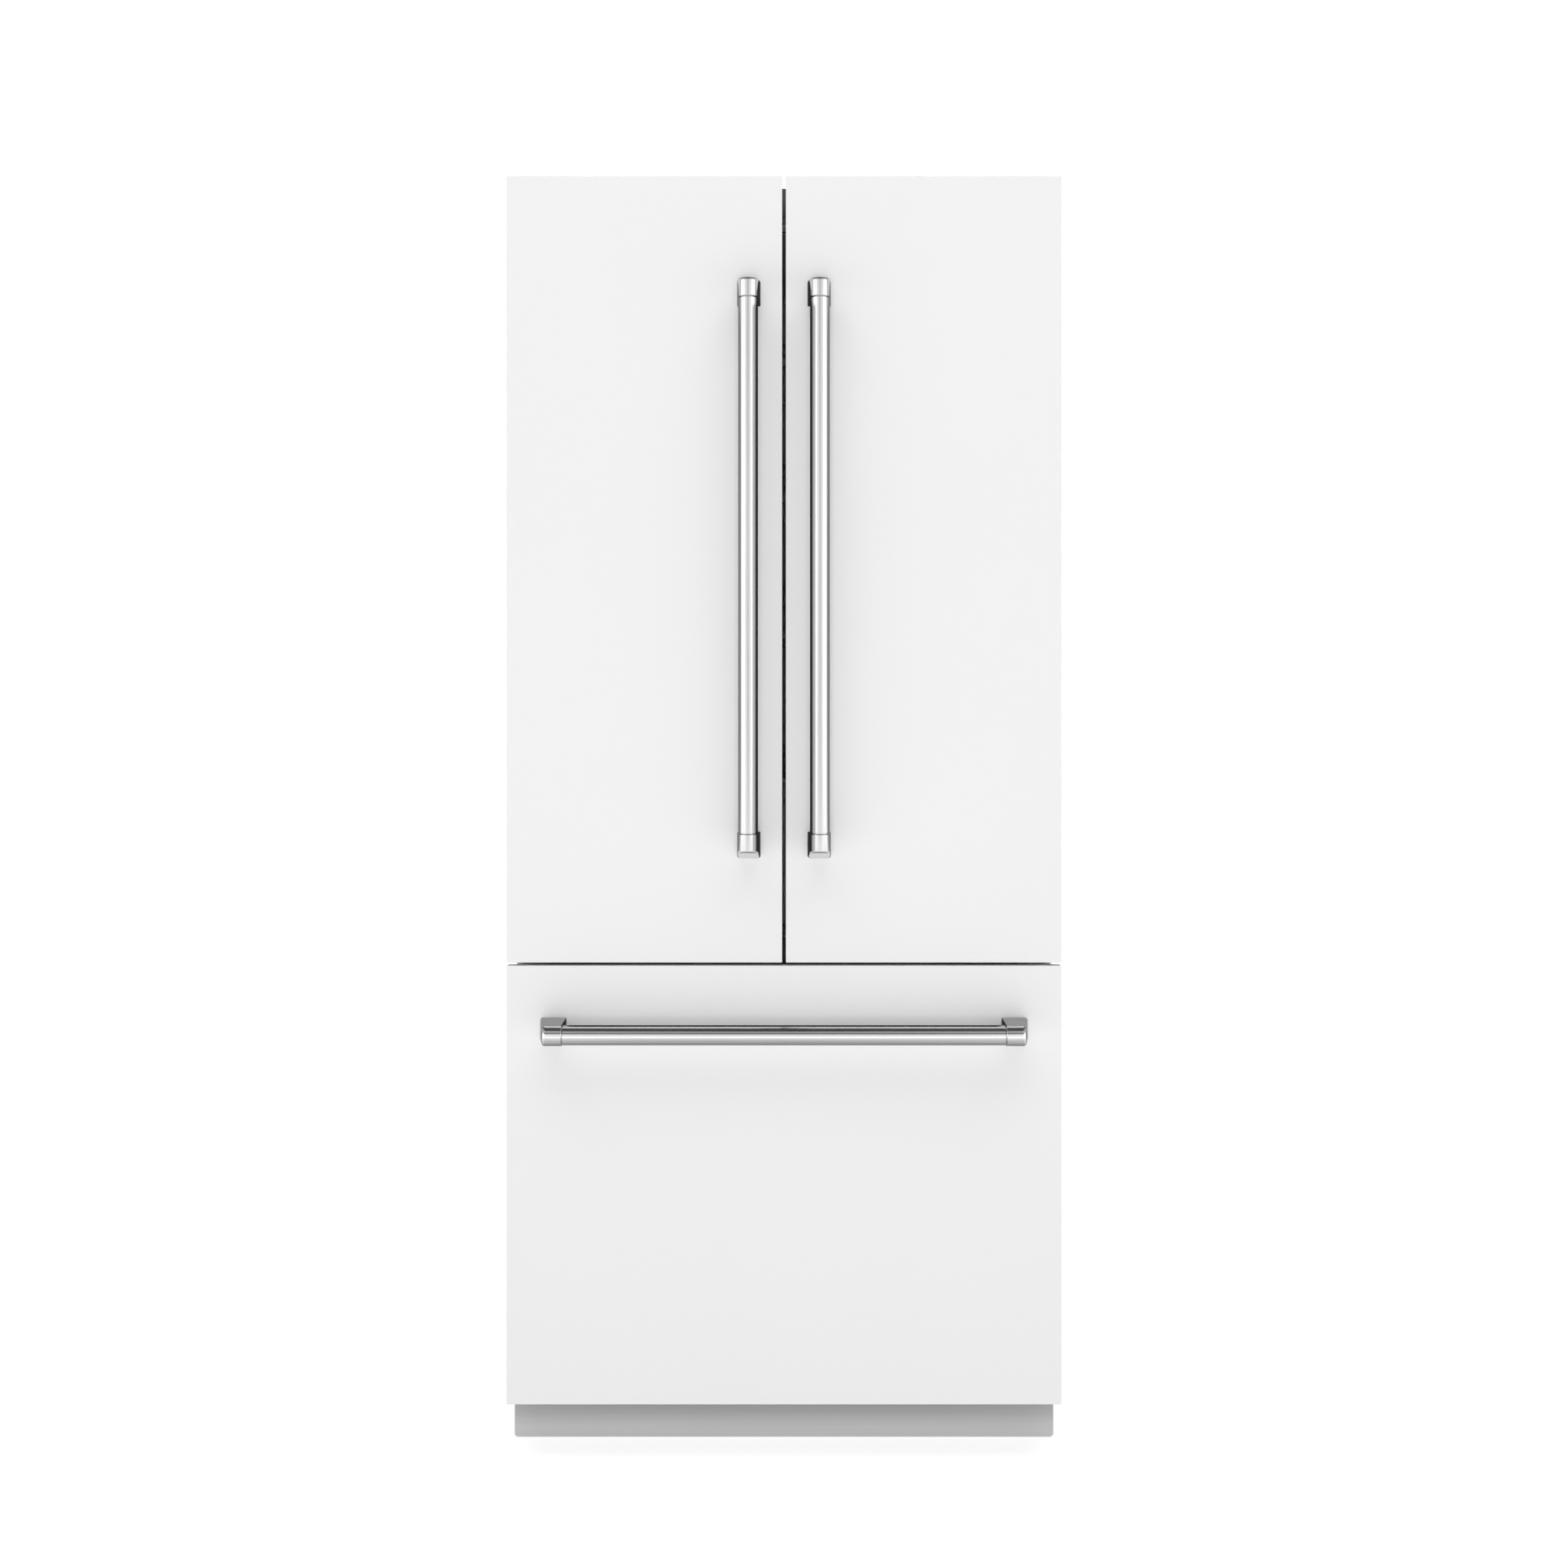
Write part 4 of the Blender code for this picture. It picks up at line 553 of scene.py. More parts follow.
def roundedRing(low, high, radius, inset, level):
    # a rectangle with round corners at one height, pulled in by inset
    radius = max(radius - inset, tubLook["smallest"])
    corner = tubLook["cornerSteps"]
    ring = []
    left, near, right, far = low[0], low[1], high[0], high[1]
    for x, y, quarter in ((right, far, 0), (left, far, 1), (left, near, 2), (right, near, 3)):
        x += (inset + radius) * (-1 if quarter in (0, 3) else 1)
        y += (inset + radius) * (-1 if quarter in (0, 1) else 1)
        for index in range(corner + 1):
            turn = math.pi / 2 * (quarter + index / corner)
            ring.append((x + radius * math.cos(turn), y + radius * math.sin(turn), level))
    return ring


def tub(low, high, radius, wall, bottom, rim=0.0, rimHeight=0.003, taper=0.0):
    # an open box with round corners, a rounded bottom edge and an outward rim
    look = tubLook
    steps, lip = look["bottomSteps"], min(look["lip"], wall * look["lipShare"])
    floor, top = low[2], high[2]
    rings = []

    def ring(inset, level):
        rings.append(roundedRing(low, high, radius, inset, level))

    for turn in quarterTurns(steps):
        ring(rim + taper + bottom * (1 - math.sin(turn)), floor + bottom * (1 - math.cos(turn)))
    if rim:
        ring(rim, top - rimHeight)
        ring(look["rimEdge"], top - rimHeight)
        ring(0.0, top - rimHeight * 0.8)
    ring(0.0, top - lip)
    ring(lip, top)
    ring(rim + wall - lip, top)
    ring(rim + wall, top - lip)
    inner = max(bottom - wall, look["inner"])
    for index in range(steps + 1):
        turn = math.pi / 2 * (1 - index / steps)
        inset = rim + taper + wall + inner * (1 - math.sin(turn))
        ring(inset, floor + wall + inner * (1 - math.cos(turn)))
    return loft(rings)


screwLook = {
    "radius": 0.0040,
    "height": 0.0021,
    "recess": 0.0017,
    "recessDepth": 0.0013,
    "sink": 0.0002,
}


def screwHead(spot, direction):
    # a pan head that stands on the spot; direction is like "+y"
    look = screwLook
    axis = "xyz".index(direction[1])
    sign = 1 if direction[0] == "+" else -1
    radius, height, recess = look["radius"], look["height"], look["recess"]
    deep = height - look["recessDepth"]
    profile = [
        (radius * 0.1, deep), (recess * 0.9, deep), (recess, height),
        (radius * 0.70, height * 0.90), (radius * 0.93, height * 0.50),
        (radius, -look["sink"]), (radius * 0.1, -look["sink"]),
    ]
    return lathe([(r, sign * along) for r, along in profile], spot, axis, 20)


# Toe kick
toeLook = {"edge": 0.0006}
roundedCopy("toe_kick", "_steel", toeSteel, toeLook["edge"])
print("toe kick made")


# Seals: a base, a thin neck and a magnet tube on each door
sealLook = {
    "section": (
        (0.0, 0.0), (0.018, 0.0), (0.018, 0.0018), (0.0150, 0.0032), (0.0166, 0.0050),
        (0.0174, 0.0074), (0.0168, 0.0098), (0.0150, 0.0112), (0.0128, 0.0117), (0.0052, 0.0117),
        (0.0030, 0.0112), (0.0012, 0.0098), (0.0006, 0.0074), (0.0014, 0.0050), (0.0030, 0.0032),
        (0.0, 0.0018),
    ),
}
for node in ("left_door_gasket", "right_door_gasket", "freezer_gasket"):
    low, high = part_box(node)
    section = [(inset, low.y + rise) for inset, rise in sealLook["section"]]
    shape = mitred((low.x, low.z), (high.x, high.z), section)
    piece(node + "_seal", bodyOf(node), [(shape, sealRubber)], [node])
print("seals made")


# Door bodies: a steel skin around the sides, painted dark as painted shade for the door gaps, and
# the white liner with its raised rim behind
doorLook = {"edge": 0.0022, "edgeSteps": 3, "skinStart": 0.010}
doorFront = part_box("freezer_door_body")[0].y


def onGapShadeSkin(face):
    # the front and the outer sides, which all start at the front; they take the dark paint that is
    # painted shade for the gaps
    return min(vertex.co.y for vertex in face.verts) < doorFront + doorLook["skinStart"]


for node in ("left_door_body", "right_door_body", "freezer_door_body"):
    edge, steps = doorLook["edge"], doorLook["edgeSteps"]
    plain = node == "freezer_door_body"
    shape = block(*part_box(node), edge, steps) if plain else cadCopy(node, edge, steps)
    parts = [(shape, doorLinerWhite, gapShadePaint, onGapShadeSkin)]
    piece(node + "_liner", bodyOf(node), parts, [node])
print("door bodies made")


# Door bins, each with a trim along its front
binLook = {
    "corner": 0.016,
    "bottom": 0.009,
    "wall": 0.0022,
    "rim": 0.0030,
    "trimHeight": 0.024,
    "trimDrop": 0.0035,
    "trimThick": 0.0032,
    "trimEdge": 0.0012,
}


def binParts(node):
    look = binLook
    low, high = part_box(node)
    tubHigh = (high.x, high.y - look["trimThick"] / 2, high.z)
    shape = tub(low, tubHigh, look["corner"], look["wall"], look["bottom"], look["rim"])
    trimLow = (low.x + look["corner"], high.y - look["trimThick"], high.z - look["trimHeight"])
    trimHigh = (high.x - look["corner"], high.y, high.z - look["trimDrop"])
    return [(shape, binClear), (block(trimLow, trimHigh, look["trimEdge"]), trimWhite)]


for node in ("bin_left_lower", "bin_left_middle", "bin_left_upper", "bin_right_lower"):
    piece(node + "_tub", bodyOf(node), binParts(node), [node])

# The dairy bin's lid has a finger grip along its front
dairyLook = {
    "binEdge": 0.0006,
    "lidEdge": 0.0005,
    "gripHalf": 0.045,
    "gripInset": (0.007, 0.001),
    "gripSpan": (-0.0002, 0.0035),
    "gripEdge": 0.0012,
}


def dairyLid():
    look = dairyLook
    low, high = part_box("dairy_lid")
    middle, half = (low.x + high.x) / 2, look["gripHalf"]
    corners = []
    for side, inset, rise in zip((-1, 1), look["gripInset"], look["gripSpan"]):
        corners.append((side * half + middle, high.y - inset, high.z + rise))
    grip = block(*corners, look["gripEdge"], 2)
    return [(cadCopy("dairy_lid", look["lidEdge"]), binClear), (grip, trimWhite)]


roundedCopy("dairy_bin", "_tub", binClear, dairyLook["binEdge"])
piece("dairy_lid_flap", "dairy_lid", dairyLid(), ["dairy_lid"])
print("bins made")


# Folding mullion
mullionLook = {"edge": 0.0010}
roundedCopy("mullion", "_bar", doorLinerWhite, mullionLook["edge"])
print("mullion made")


# Fridge shelves: a glass pane in a moulded frame
shelfLook = {
    "front": 0.016,
    "side": 0.010,
    "rear": 0.014,
    "thick": 0.008,
    "edge": 0.0016,
    "joint": 0.002,
    "pane": 0.0040,
    "paneDrop": 0.0008,
    "paneEdge": 0.0004,
    "lap": 0.003,
    "lipThick": 0.006,
    "lipSink": 0.004,
    "lipEdge": 0.0014,
}


def shelfParts(frameLow, frameHigh):
    look = shelfLook
    low, high = Vector(frameLow), Vector(frameHigh)
    edge, side, lap, joint = look["edge"], look["side"], look["lap"], look["joint"]
    front, rear = low.y + look["front"], high.y - look["rear"]
    spans = [(low, (high.x, front, high.z)), ((low.x, rear, low.z), high)]
    for start, end in ((low.x, low.x + side), (high.x - side, high.x)):
        spans.append(((start, front - joint, low.z), (end, rear + joint, high.z)))
    parts = [(block(*span, edge), trimWhite) for span in spans]
    paneLow = (low.x + side - lap, front - lap, high.z - look["pane"] - look["paneDrop"])
    paneHigh = (high.x - side + lap, rear + lap, high.z - look["paneDrop"])
    parts.append((block(paneLow, paneHigh, look["paneEdge"], 1), paneGlass))
    return parts


for node in ("shelf_top", "shelf_middle", "shelf_bottom"):
    look = shelfLook
    low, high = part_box(node)
    top = low.z + look["thick"]
    parts = shelfParts(low, (high.x, high.y, top))
    if high.z > top + look["paneDrop"]:
        # a raised lip along the front
        lipLow = (low.x, low.y, top - look["lipSink"])
        lipHigh = (high.x, low.y + look["lipThick"], high.z)
        parts.append((block(lipLow, lipHigh, look["lipEdge"]), trimWhite))
    piece(node + "_framed", "cabinet", parts, [node])
print("shelves made")


# Crisper shelf: the same frame and pane, a divider with two runners, and a slider for each drawer
crisperShelfLook = {
    "thick": 0.008,
    "divider": 0.003,
    "dividerFront": -0.0163,
    "runner": 0.015,
    "runnerLow": 1.0637,
    "runnerHigh": 1.0707,
    "slider": 0.198,
    "track": 0.034,
    "trackInset": 0.0026,
    "knob": 0.009,
    "knobShift": 0.012,
    "knobInset": 0.0014,
    "knobProud": 0.0024,
    "lap": 0.0010,
}


def crisperShelf():
    look = crisperShelfLook
    low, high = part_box("crisper_shelf")
    bottom, lap = high.z - look["thick"], look["lap"]
    parts = shelfParts((low.x, low.y, bottom), high)
    front, rear = look["dividerFront"], high.y - 0.0004
    half, runner = look["divider"], look["runner"]
    parts.append((block((-half, front, low.z), (half, rear, bottom + lap), 0.0010, 2), trimWhite))
    runnerLow, runnerHigh = (-runner, front, look["runnerLow"]), (runner, rear, look["runnerHigh"])
    parts.append((block(runnerLow, runnerHigh, 0.0014), trimWhite))
    for side in (-1, 1):
        # half width, middle, how far it stands out, inset from the frame, edge, steps, finish
        middle = side * look["slider"]
        knobMiddle = middle - side * look["knobShift"]
        sliders = (
            (look["track"], middle, 0.0003, look["trackInset"], 0.0003, 1, blackPlasticAndSlotShade),
            (look["knob"], knobMiddle, look["knobProud"], look["knobInset"], 0.0009, 2, trimWhite),
        )
        for half, middle, proud, inset, edge, steps, finish in sliders:
            start = (middle - half, low.y - proud, bottom + inset)
            end = (middle + half, low.y + lap, high.z - inset)
            parts.append((block(start, end, edge, steps), finish))
    return parts


piece("crisper_shelf_framed", "cabinet", crisperShelf(), ["crisper_shelf"])


# Crispers: a clear tub with hanging flanges, a white band and a finger grip
crisperLook = {
    "near": 0.018,
    "far": 0.378,
    "lip": 0.012,
    "rim": 1.075,
    "flange": 0.004,
    "corner": 0.014,
    "bottom": 0.009,
    "wall": 0.0028,
    "taper": 0.003,
    "band": 0.040,
    "bandFront": 0.0014,
    "bandRear": 0.0016,
    "gripHeight": 0.008,
    "gripThick": 0.0028,
    "gripInset": 0.002,
}


def crisper(node):
    look = crisperLook
    low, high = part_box(node)
    side = -1 if low.x < 0 else 1
    left, right = sorted((side * look["near"], side * look["far"]))
    front, rim = low.y + look["lip"], look["rim"]
    start, end = (left, front, low.z), (right, high.y, rim)
    shape = tub(start, end, look["corner"], look["wall"], look["bottom"], taper=look["taper"])
    parts = [(shape, crisperClear)]
    flangeFront, flangeLow = front + 0.004, rim - look["flange"]
    for start, end in ((low.x, left + 0.0004), (right - 0.0004, high.x)):
        flange = block((start, flangeFront, flangeLow), (end, high.y, rim), 0.0008, 2)
        parts.append((flange, crisperClear))
    bandLow = (left, front - look["bandFront"], rim - look["band"])
    parts.append((block(bandLow, (right, front + look["bandRear"], high.z), 0.0012), trimWhite))
    # the grip is an L in section
    y, z, thick = low.y, high.z, look["gripThick"]
    down, inset = z - look["gripHeight"], look["gripInset"]
    outline = (
        (front, z), (y, z), (y, down),
        (y + thick, down), (y + thick, z - thick), (front, z - thick),
    )
    parts.append((extruded(outline, 0, left + inset, right - inset, 0.0010, 3), trimWhite))
    return parts


for node in ("crisper_left", "crisper_right"):
    piece(node + "_drawer", node, crisper(node), [node])
print("crispers made")


# Fridge liner: a thin skin with round corners inside the foam body, and coves in the freezer
linerLook = {
    "half": 0.3988,
    "floor": 0.8434,
    "ceiling": 2.0596,
    "front": -0.1811,
    "rear": 0.2844,
    "corner": 0.020,
    "rearCorner": 0.016,
    "skin": 0.0008,
    "freezerHalf": 0.3942,
    "freezerFloor": 0.1498,
    "freezerCeiling": 0.7782,
    "stepFront": 0.1065,
    "coverFront": 0.2206,
    "cove": 0.016,
    "coveSteps": 8,
}


def linerSkin():
    look = linerLook
    depth = look["rear"] - look["front"]
    low, high = (-look["half"], look["floor"], 0.0), (look["half"], look["ceiling"], depth)
    shape = tub(low, high, look["corner"], look["skin"], look["rearCorner"])
    for vertex in shape.verts:
        x, z, out = vertex.co
        vertex.co = (x, look["rear"] - out, z)
    bmesh.ops.recalc_face_normals(shape, faces=shape.faces)
    return shape


def cove(x, z, start, end):
    # fills one corner that runs from front to back
    radius = linerLook["cove"]
    across = -1 if x > 0 else 1
    up = -1 if z > 0.5 else 1
    centre = (x + across * radius, z + up * radius)
    outline = [(x, z)]
    for turn in quarterTurns(linerLook["coveSteps"]):
        out, down = radius * math.sin(turn), radius * math.cos(turn)
        outline.append((centre[0] - across * out, centre[1] - up * down))
    return extruded(outline, 1, start, end)


piece("fridge_liner", "cabinet", [(linerSkin(), linerWhite)])
parts = []
for side in (-1, 1):
    wall, front = side * linerLook["freezerHalf"], linerLook["front"] + 0.0002
    for level, rear in (("freezerCeiling", "coverFront"), ("freezerFloor", "stepFront")):
        parts.append((cove(wall, linerLook[level], front, linerLook[rear]), linerWhite))
piece("freezer_coves", "cabinet", parts)
print("liner made")


# Two lamps under the fridge ceiling, a light strip on each wall, and the control strip
lampLook = {
    "near": 0.050,
    "far": 0.210,
    "front": -0.110,
    "rear": 0.030,
    "drop": 0.0125,
    "lens": 0.003,
    "lensInset": 0.010,
    "lensSink": 0.004,
    "stripWall": 0.3984,
    "stripDepth": (-0.142, -0.128),
    "stripHeight": (1.150, 2.020),
    "controlHalf": 0.100,
    "controlDepth": (-0.152, -0.122),
    "controlDrop": 0.010,
    "keys": 5,
    "keyPitch": 0.032,
    "key": (
        (0.0005, -0.0012), (0.0042, -0.0012), (0.0050, -0.0004), (0.0050, 0.001), (0.0005, 0.001),
    ),
}


def lampParts(side):
    look = lampLook
    top = linerLook["ceiling"]
    under = top - look["drop"]
    left, right = sorted((side * look["near"], side * look["far"]))
    front, rear = look["front"], look["rear"]
    parts = [(block((left, front, under), (right, rear, top), 0.0050, 4), trimWhite)]
    inset = look["lensInset"]
    lensLow = (left + inset, front + inset, under - look["lens"])
    lensHigh = (right - inset, rear - inset, under + look["lensSink"])
    parts.append((block(lensLow, lensHigh, 0.0026), lampLens))
    return parts


def stripParts(side):
    look = lampLook
    near, far = look["stripDepth"]
    start, end = look["stripHeight"]
    wall = look["stripWall"]
    # a base and a lens: how far it stands out, inset, finish, edge
    spans = ((0.0024, 0.0, trimWhite, 0.0011), (0.0036, 0.0030, lampLens, 0.0009))
    parts = []
    for proud, inset, finish, edge in spans:
        left, right = sorted((side * wall, side * (wall - proud)))
        low, high = (left, near + inset, start + inset * 2), (right, far - inset, end - inset * 2)
        parts.append((block(low, high, edge), finish))
    return parts


def controlParts():
    look = lampLook
    top = linerLook["ceiling"]
    under = top - look["controlDrop"]
    near, far = look["controlDepth"]
    half = look["controlHalf"]
    outline = ((near, top), (near, under + 0.005), (near + 0.006, under), (far, under), (far, top))
    parts = [(extruded(outline, 0, -half, half, 0.0014, 3), trimWhite)]
    plateLow = (0.012 - half, near + 0.008, under - 0.0004)
    parts.append((block(plateLow, (half - 0.012, far - 0.004, under + 0.002), 0.0003, 1), blackPlasticAndSlotShade))
    for index in range(look["keys"]):
        middle = (index - (look["keys"] - 1) / 2) * look["keyPitch"]
        spot = (middle, (near + far) / 2 + 0.002, under)
        parts.append((lathe(look["key"], spot, 2, 24), trimWhite))
    return parts


for name, make in (("ceiling_lamp", lampParts), ("wall_light", stripParts)):
    for word, side in (("left", -1), ("right", 1)):
        piece(f"{name}_{word}", "cabinet", make(side))
piece("control_strip", "cabinet", controlParts())
print("lights made")


# Freezer drawer: the door's inner panel, the basket and the tray above it
basketLook = {
    "half": 0.3604,
    "corner": 0.018,
    "bottom": 0.012,
    "wall": 0.0030,
    "rim": 0.0055,
    "rimHeight": 0.011,
    "hangerLow": 0.4153,
    "hangerHigh": 0.4183,
    "ribs": 15,
    "ribHalf": 0.0018,
    "ribDepth": 0.0016,
    "ribEnd": 0.035,
    "gripHalf": 0.085,
    "gripDepth": 0.016,
    "gripHeight": 0.013,
    "panelInset": 0.034,
    "panelProud": 0.0026,
}


def ribbedTub(node):
    look = basketLook
    ribs = look["ribs"]
    low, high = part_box(node)
    half, rim = look["half"], look["rim"]
    low, high = (-half, low.y, low.z), (half, high.y, high.z)
    shape = tub(low, high, look["corner"], look["wall"], look["bottom"], rim, look["rimHeight"])
    parts = [(shape, basketWhite)]
    bottom, top = low[2] + look["bottom"], high[2] - look["rimHeight"] + 0.001
    for index in range(ribs):
        middle = (index - (ribs - 1) / 2) * 2 * (half - look["ribEnd"]) / (ribs - 1)
        left, right = middle - look["ribHalf"], middle + look["ribHalf"]
        for wall, out in ((low[1] + rim, -1), (high[1] - rim, 1)):
            start, end = sorted((wall - out * 0.0005, wall + out * look["ribDepth"]))
            rib = block((left, start, bottom), (right, end, top), 0.0006, 1)
            parts.append((rib, basketWhite))
    return parts


def basketParts():
    look = basketLook
    low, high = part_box("freezer_basket")
    parts = ribbedTub("freezer_basket")
    for side in (-1, 1):
        left, right = sorted((side * (look["half"] - look["rim"] - 0.001), side * high.x))
        start, end = (left, low.y, look["hangerLow"]), (right, high.y, look["hangerHigh"])
        parts.append((block(start, end, 0.0011, 2), basketWhite))
    return parts


def trayParts():
    look = basketLook
    low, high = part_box("freezer_tray")
    parts = ribbedTub("freezer_tray")
    half = look["gripHalf"]
    start = (-half, low.y, high.z - look["gripHeight"])
    end = (half, low.y + look["gripDepth"], high.z)
    parts.append((block(start, end, 0.0035, 4), basketWhite))
    return parts


for node, parts in (("freezer_basket", basketParts()), ("freezer_tray", trayParts())):
    piece(node + "_tub", bodyOf(node), parts, [node])
low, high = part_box("freezer_door_body")
inset, rear = basketLook["panelInset"], high.y + basketLook["panelProud"]
start, end = (low.x + inset, high.y - 0.001, low.z + inset), (high.x - inset, rear, high.z - inset)
shape = block(start, end, 0.0024)
piece("freezer_door_inner_panel", "freezer_drawer", [(shape, doorLinerWhite)])
print("freezer drawer made")


# Hinges, with a screw beside each top pin
hingeLook = {"edge": 0.0006, "screwDrop": 0.005, "screwInset": 0.0029}
for node in ("hinge_top_left", "hinge_top_right", "hinge_centre_left", "hinge_centre_right"):
    look = hingeLook
    low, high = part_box(node)
    parts = [(cadCopy(node, look["edge"]), brightZinc)]
    if "top" in node:
        y, z = high.y - look["screwInset"], high.z - look["screwDrop"]
        for share in (0.25, 0.75):
            spot = (low.x + (high.x - low.x) * share, y, z)
            parts.append((screwHead(spot, "-y"), screwSteel))
    piece(node + "_plate", "cabinet", parts, [node])
print("hinges made")


# Outside of the cabinet: wrapper, back sheet and machine room cover, with their screws
backLook = {
    "sheet": 0.0013,
    "sheetEdge": 0.0004,
    "edgeInset": 0.0085,
    "sideScrews": 7,
    "topScrews": 4,
    "coverSideScrews": 3,
    "coverScrews": 4,
    "gland": (0.320, 0.0, 0.120),
    "glandOuter": 0.0105,
    "glandInner": 0.0052,
}


def spread(start, end, count):
    return [start + (end - start) * index / (count - 1) for index in range(count)]


def screwedSheet(node, sideCount, topCount):
    # a row of screws up each side and one along the top
    look = backLook
    low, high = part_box(node)
    face, inset = low.y + look["sheet"], look["edgeInset"]
    left, right, top = low.x + inset, high.x - inset, high.z - inset
    spots = []
    for x in (left, right):
        spots += [(x, face, z) for z in spread(low.z + inset * 1.5, top, sideCount)]
    spots += [(x, face, top) for x in spread(left, right, topCount + 2)[1:-1]]
    screws = [(screwHead(spot, "+y"), screwSteel) for spot in spots]
    return [(cadCopy(node, look["sheetEdge"], 1), zincSheet)] + screws


roundedCopy("cabinet_wrapper", "_painted", sheetPaint, backLook["sheetEdge"], 1)
parts = screwedSheet("cabinet_back", backLook["sideScrews"], backLook["topScrews"])
piece("cabinet_back_sheet", "cabinet", parts, ["cabinet_back"])
parts = screwedSheet("machine_cover", backLook["coverSideScrews"], backLook["coverScrews"])
low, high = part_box("machine_cover")
outer, inner = backLook["glandOuter"], backLook["glandInner"]
profile = (
    (inner, low.y + 0.001), (inner, high.y - 0.0004), (inner + 0.0006, high.y),
    (outer - 0.0012, high.y), (outer, high.y - 0.0010), (outer, low.y + 0.001),
)
parts.append((lathe(profile, backLook["gland"], 1, 32, True), sealRubber))
piece("machine_cover_sheet", "cabinet", parts, ["machine_cover"])
print("back made")


# Feet: a nylon pad, a threaded stem and its nut
footLook = {
    "pad": 0.022,
    "padHeight": 0.010,
    "stem": 0.0055,
    "thread": 0.0005,
    "pitch": 0.0020,
    "nut": 0.0100,
    "nutSpan": (0.0530, 0.0600),
    "core": 0.0005,
}
for node in ("front_foot_left", "front_foot_right"):
    look = footLook
    low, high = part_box(node)
    x, y = (low.x + high.x) / 2, (low.y + high.y) / 2
    pad, top, core = look["pad"], look["padHeight"], look["core"]
    profile = (
        (core, 0.0), (pad - 0.0020, 0.0), (pad - 0.0004, 0.0008), (pad, 0.0022), (pad, top * 0.5),
        (pad - 0.0010, top * 0.72), (pad * 0.55, top * 0.92), (pad * 0.40, top), (core, top),
    )
    parts = [(lathe(profile, (x, y, 0.0), 2, 48), nylonGrey)]
    stem, pitch = look["stem"], look["pitch"]
    root = stem - look["thread"]
    thread, level = [(core, top - 0.001), (root, top - 0.001)], top
    while level < high.z - pitch:
        thread += [(root, level), (stem, level + pitch / 2)]
        level += pitch
    thread += [(root, high.z - 0.0004), (core, high.z)]
    parts.append((lathe(thread, (x, y, 0.0), 2, 20), brightZinc))
    nut = extruded(circlePoints(look["nut"], 6, (x, y)), 2, *look["nutSpan"], 0.0006, 2)
    parts.append((nut, brightZinc))
    piece(node + "_screw", "cabinet", parts, [node])
print("feet made")


# Rear rollers: two spoked nylon wheels on one axle
rollerLook = {
    "near": 0.3895,
    "far": 0.4195,
    "radius": 0.022,
    "hub": 0.0095,
    "web": 0.0175,
    "recess": 0.0050,
    "spokes": 6,
    "spokeHalf": 0.0012,
    "spokeInset": 0.0012,
    "spokeLap": 0.001,
    "axle": 0.0041,
    "edge": 0.0006,
}


def rollers():
    look = rollerLook
    low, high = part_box("rear_rollers")
    y, z = (low.y + high.y) / 2, (low.z + high.z) / 2
    edge, axle = look["edge"], look["axle"]
    rod = extruded(circlePoints(axle, 24, (y, z)), 0, low.x, high.x, edge, 2, 50.0)
    parts = [(rod, brightZinc)]
    near, far, recess = look["near"], look["far"], look["recess"]
    radius, hub, web = look["radius"], look["hub"], look["web"]
    reachIn, reachOut = hub - look["spokeLap"], web + look["spokeLap"]
    half = (
        (axle - 0.0002, near), (hub, near), (hub + edge, near + edge),
        (hub + 0.0010, near + recess), (web - 0.0004, near + recess),
        (web, near + edge), (web + edge, near),
        (radius - 0.0016, near), (radius - 0.0004, near + edge), (radius, near + 0.0020),
    )
    whole = list(half) + [(r, near + far - along) for r, along in half[::-1]]
    for side in (-1, 1):
        profile = [(r, side * along) for r, along in whole]
        parts.append((lathe(profile, (0.0, y, z), 0, 48, True), nylonGrey))
        inset = look["spokeInset"]
        start, end = sorted((side * (near + inset), side * (far - inset)))
        for index in range(look["spokes"]):
            turn = 2 * math.pi * index / look["spokes"]
            cosine, sine = math.cos(turn), math.sin(turn)
            outline = []
            for reach, way in ((reachIn, -1), (reachOut, -1), (reachOut, 1), (reachIn, 1)):
                step = way * look["spokeHalf"]
                outline.append((y + cosine * reach - sine * step, z + sine * reach + cosine * step))
            parts.append((extruded(outline, 0, start, end), nylonGrey))
    return parts


piece("rear_rollers_wheels", "rear_rollers", rollers(), ["rear_rollers"])
print("rollers made")


# Air duct, evaporator cover and ice maker keep their shapes and gain round edges
innerLook = {"ductEdge": 0.0012, "coverEdge": 0.0008}
roundedCopy("air_duct", "_moulding", linerWhite, innerLook["ductEdge"])
roundedCopy("evaporator_cover", "_moulding", linerWhite, innerLook["coverEdge"])

# The ice maker gains a bent arm in front, a vent of black strips that are painted shade in place of
# open slots, and a switch
iceLook = {
    "edge": 0.0030,
    "wire": 0.0016,
    "wireSides": 10,
    "low": 0.640,
    "pivot": 0.720,
    "slots": 6,
    "slotPitch": 0.006,
    "slotDrop": 0.018,
    "slotInset": (0.030, 0.070),
    "slotHalf": 0.0012,
    "switchInset": (0.045, 0.029),
    "switchDrop": (0.040, 0.022),
}


def armPoints(left, right, front):
    # from the pivot forward, down, across under the tray and up again
    low, pivot = iceLook["low"], iceLook["pivot"]
    return (
        (right - 0.008, front + 0.040, pivot), (right, front + 0.040, pivot),
        (right + 0.001, front + 0.036, pivot - 0.002), (right + 0.001, front - 0.006, low + 0.008),
        (right - 0.002, front - 0.010, low + 0.004), (right - 0.010, front - 0.012, low + 0.003),
        (left + 0.010, front - 0.012, low + 0.003), (left + 0.002, front - 0.008, low + 0.006),
        (left, front + 0.004, low + 0.016),
    )


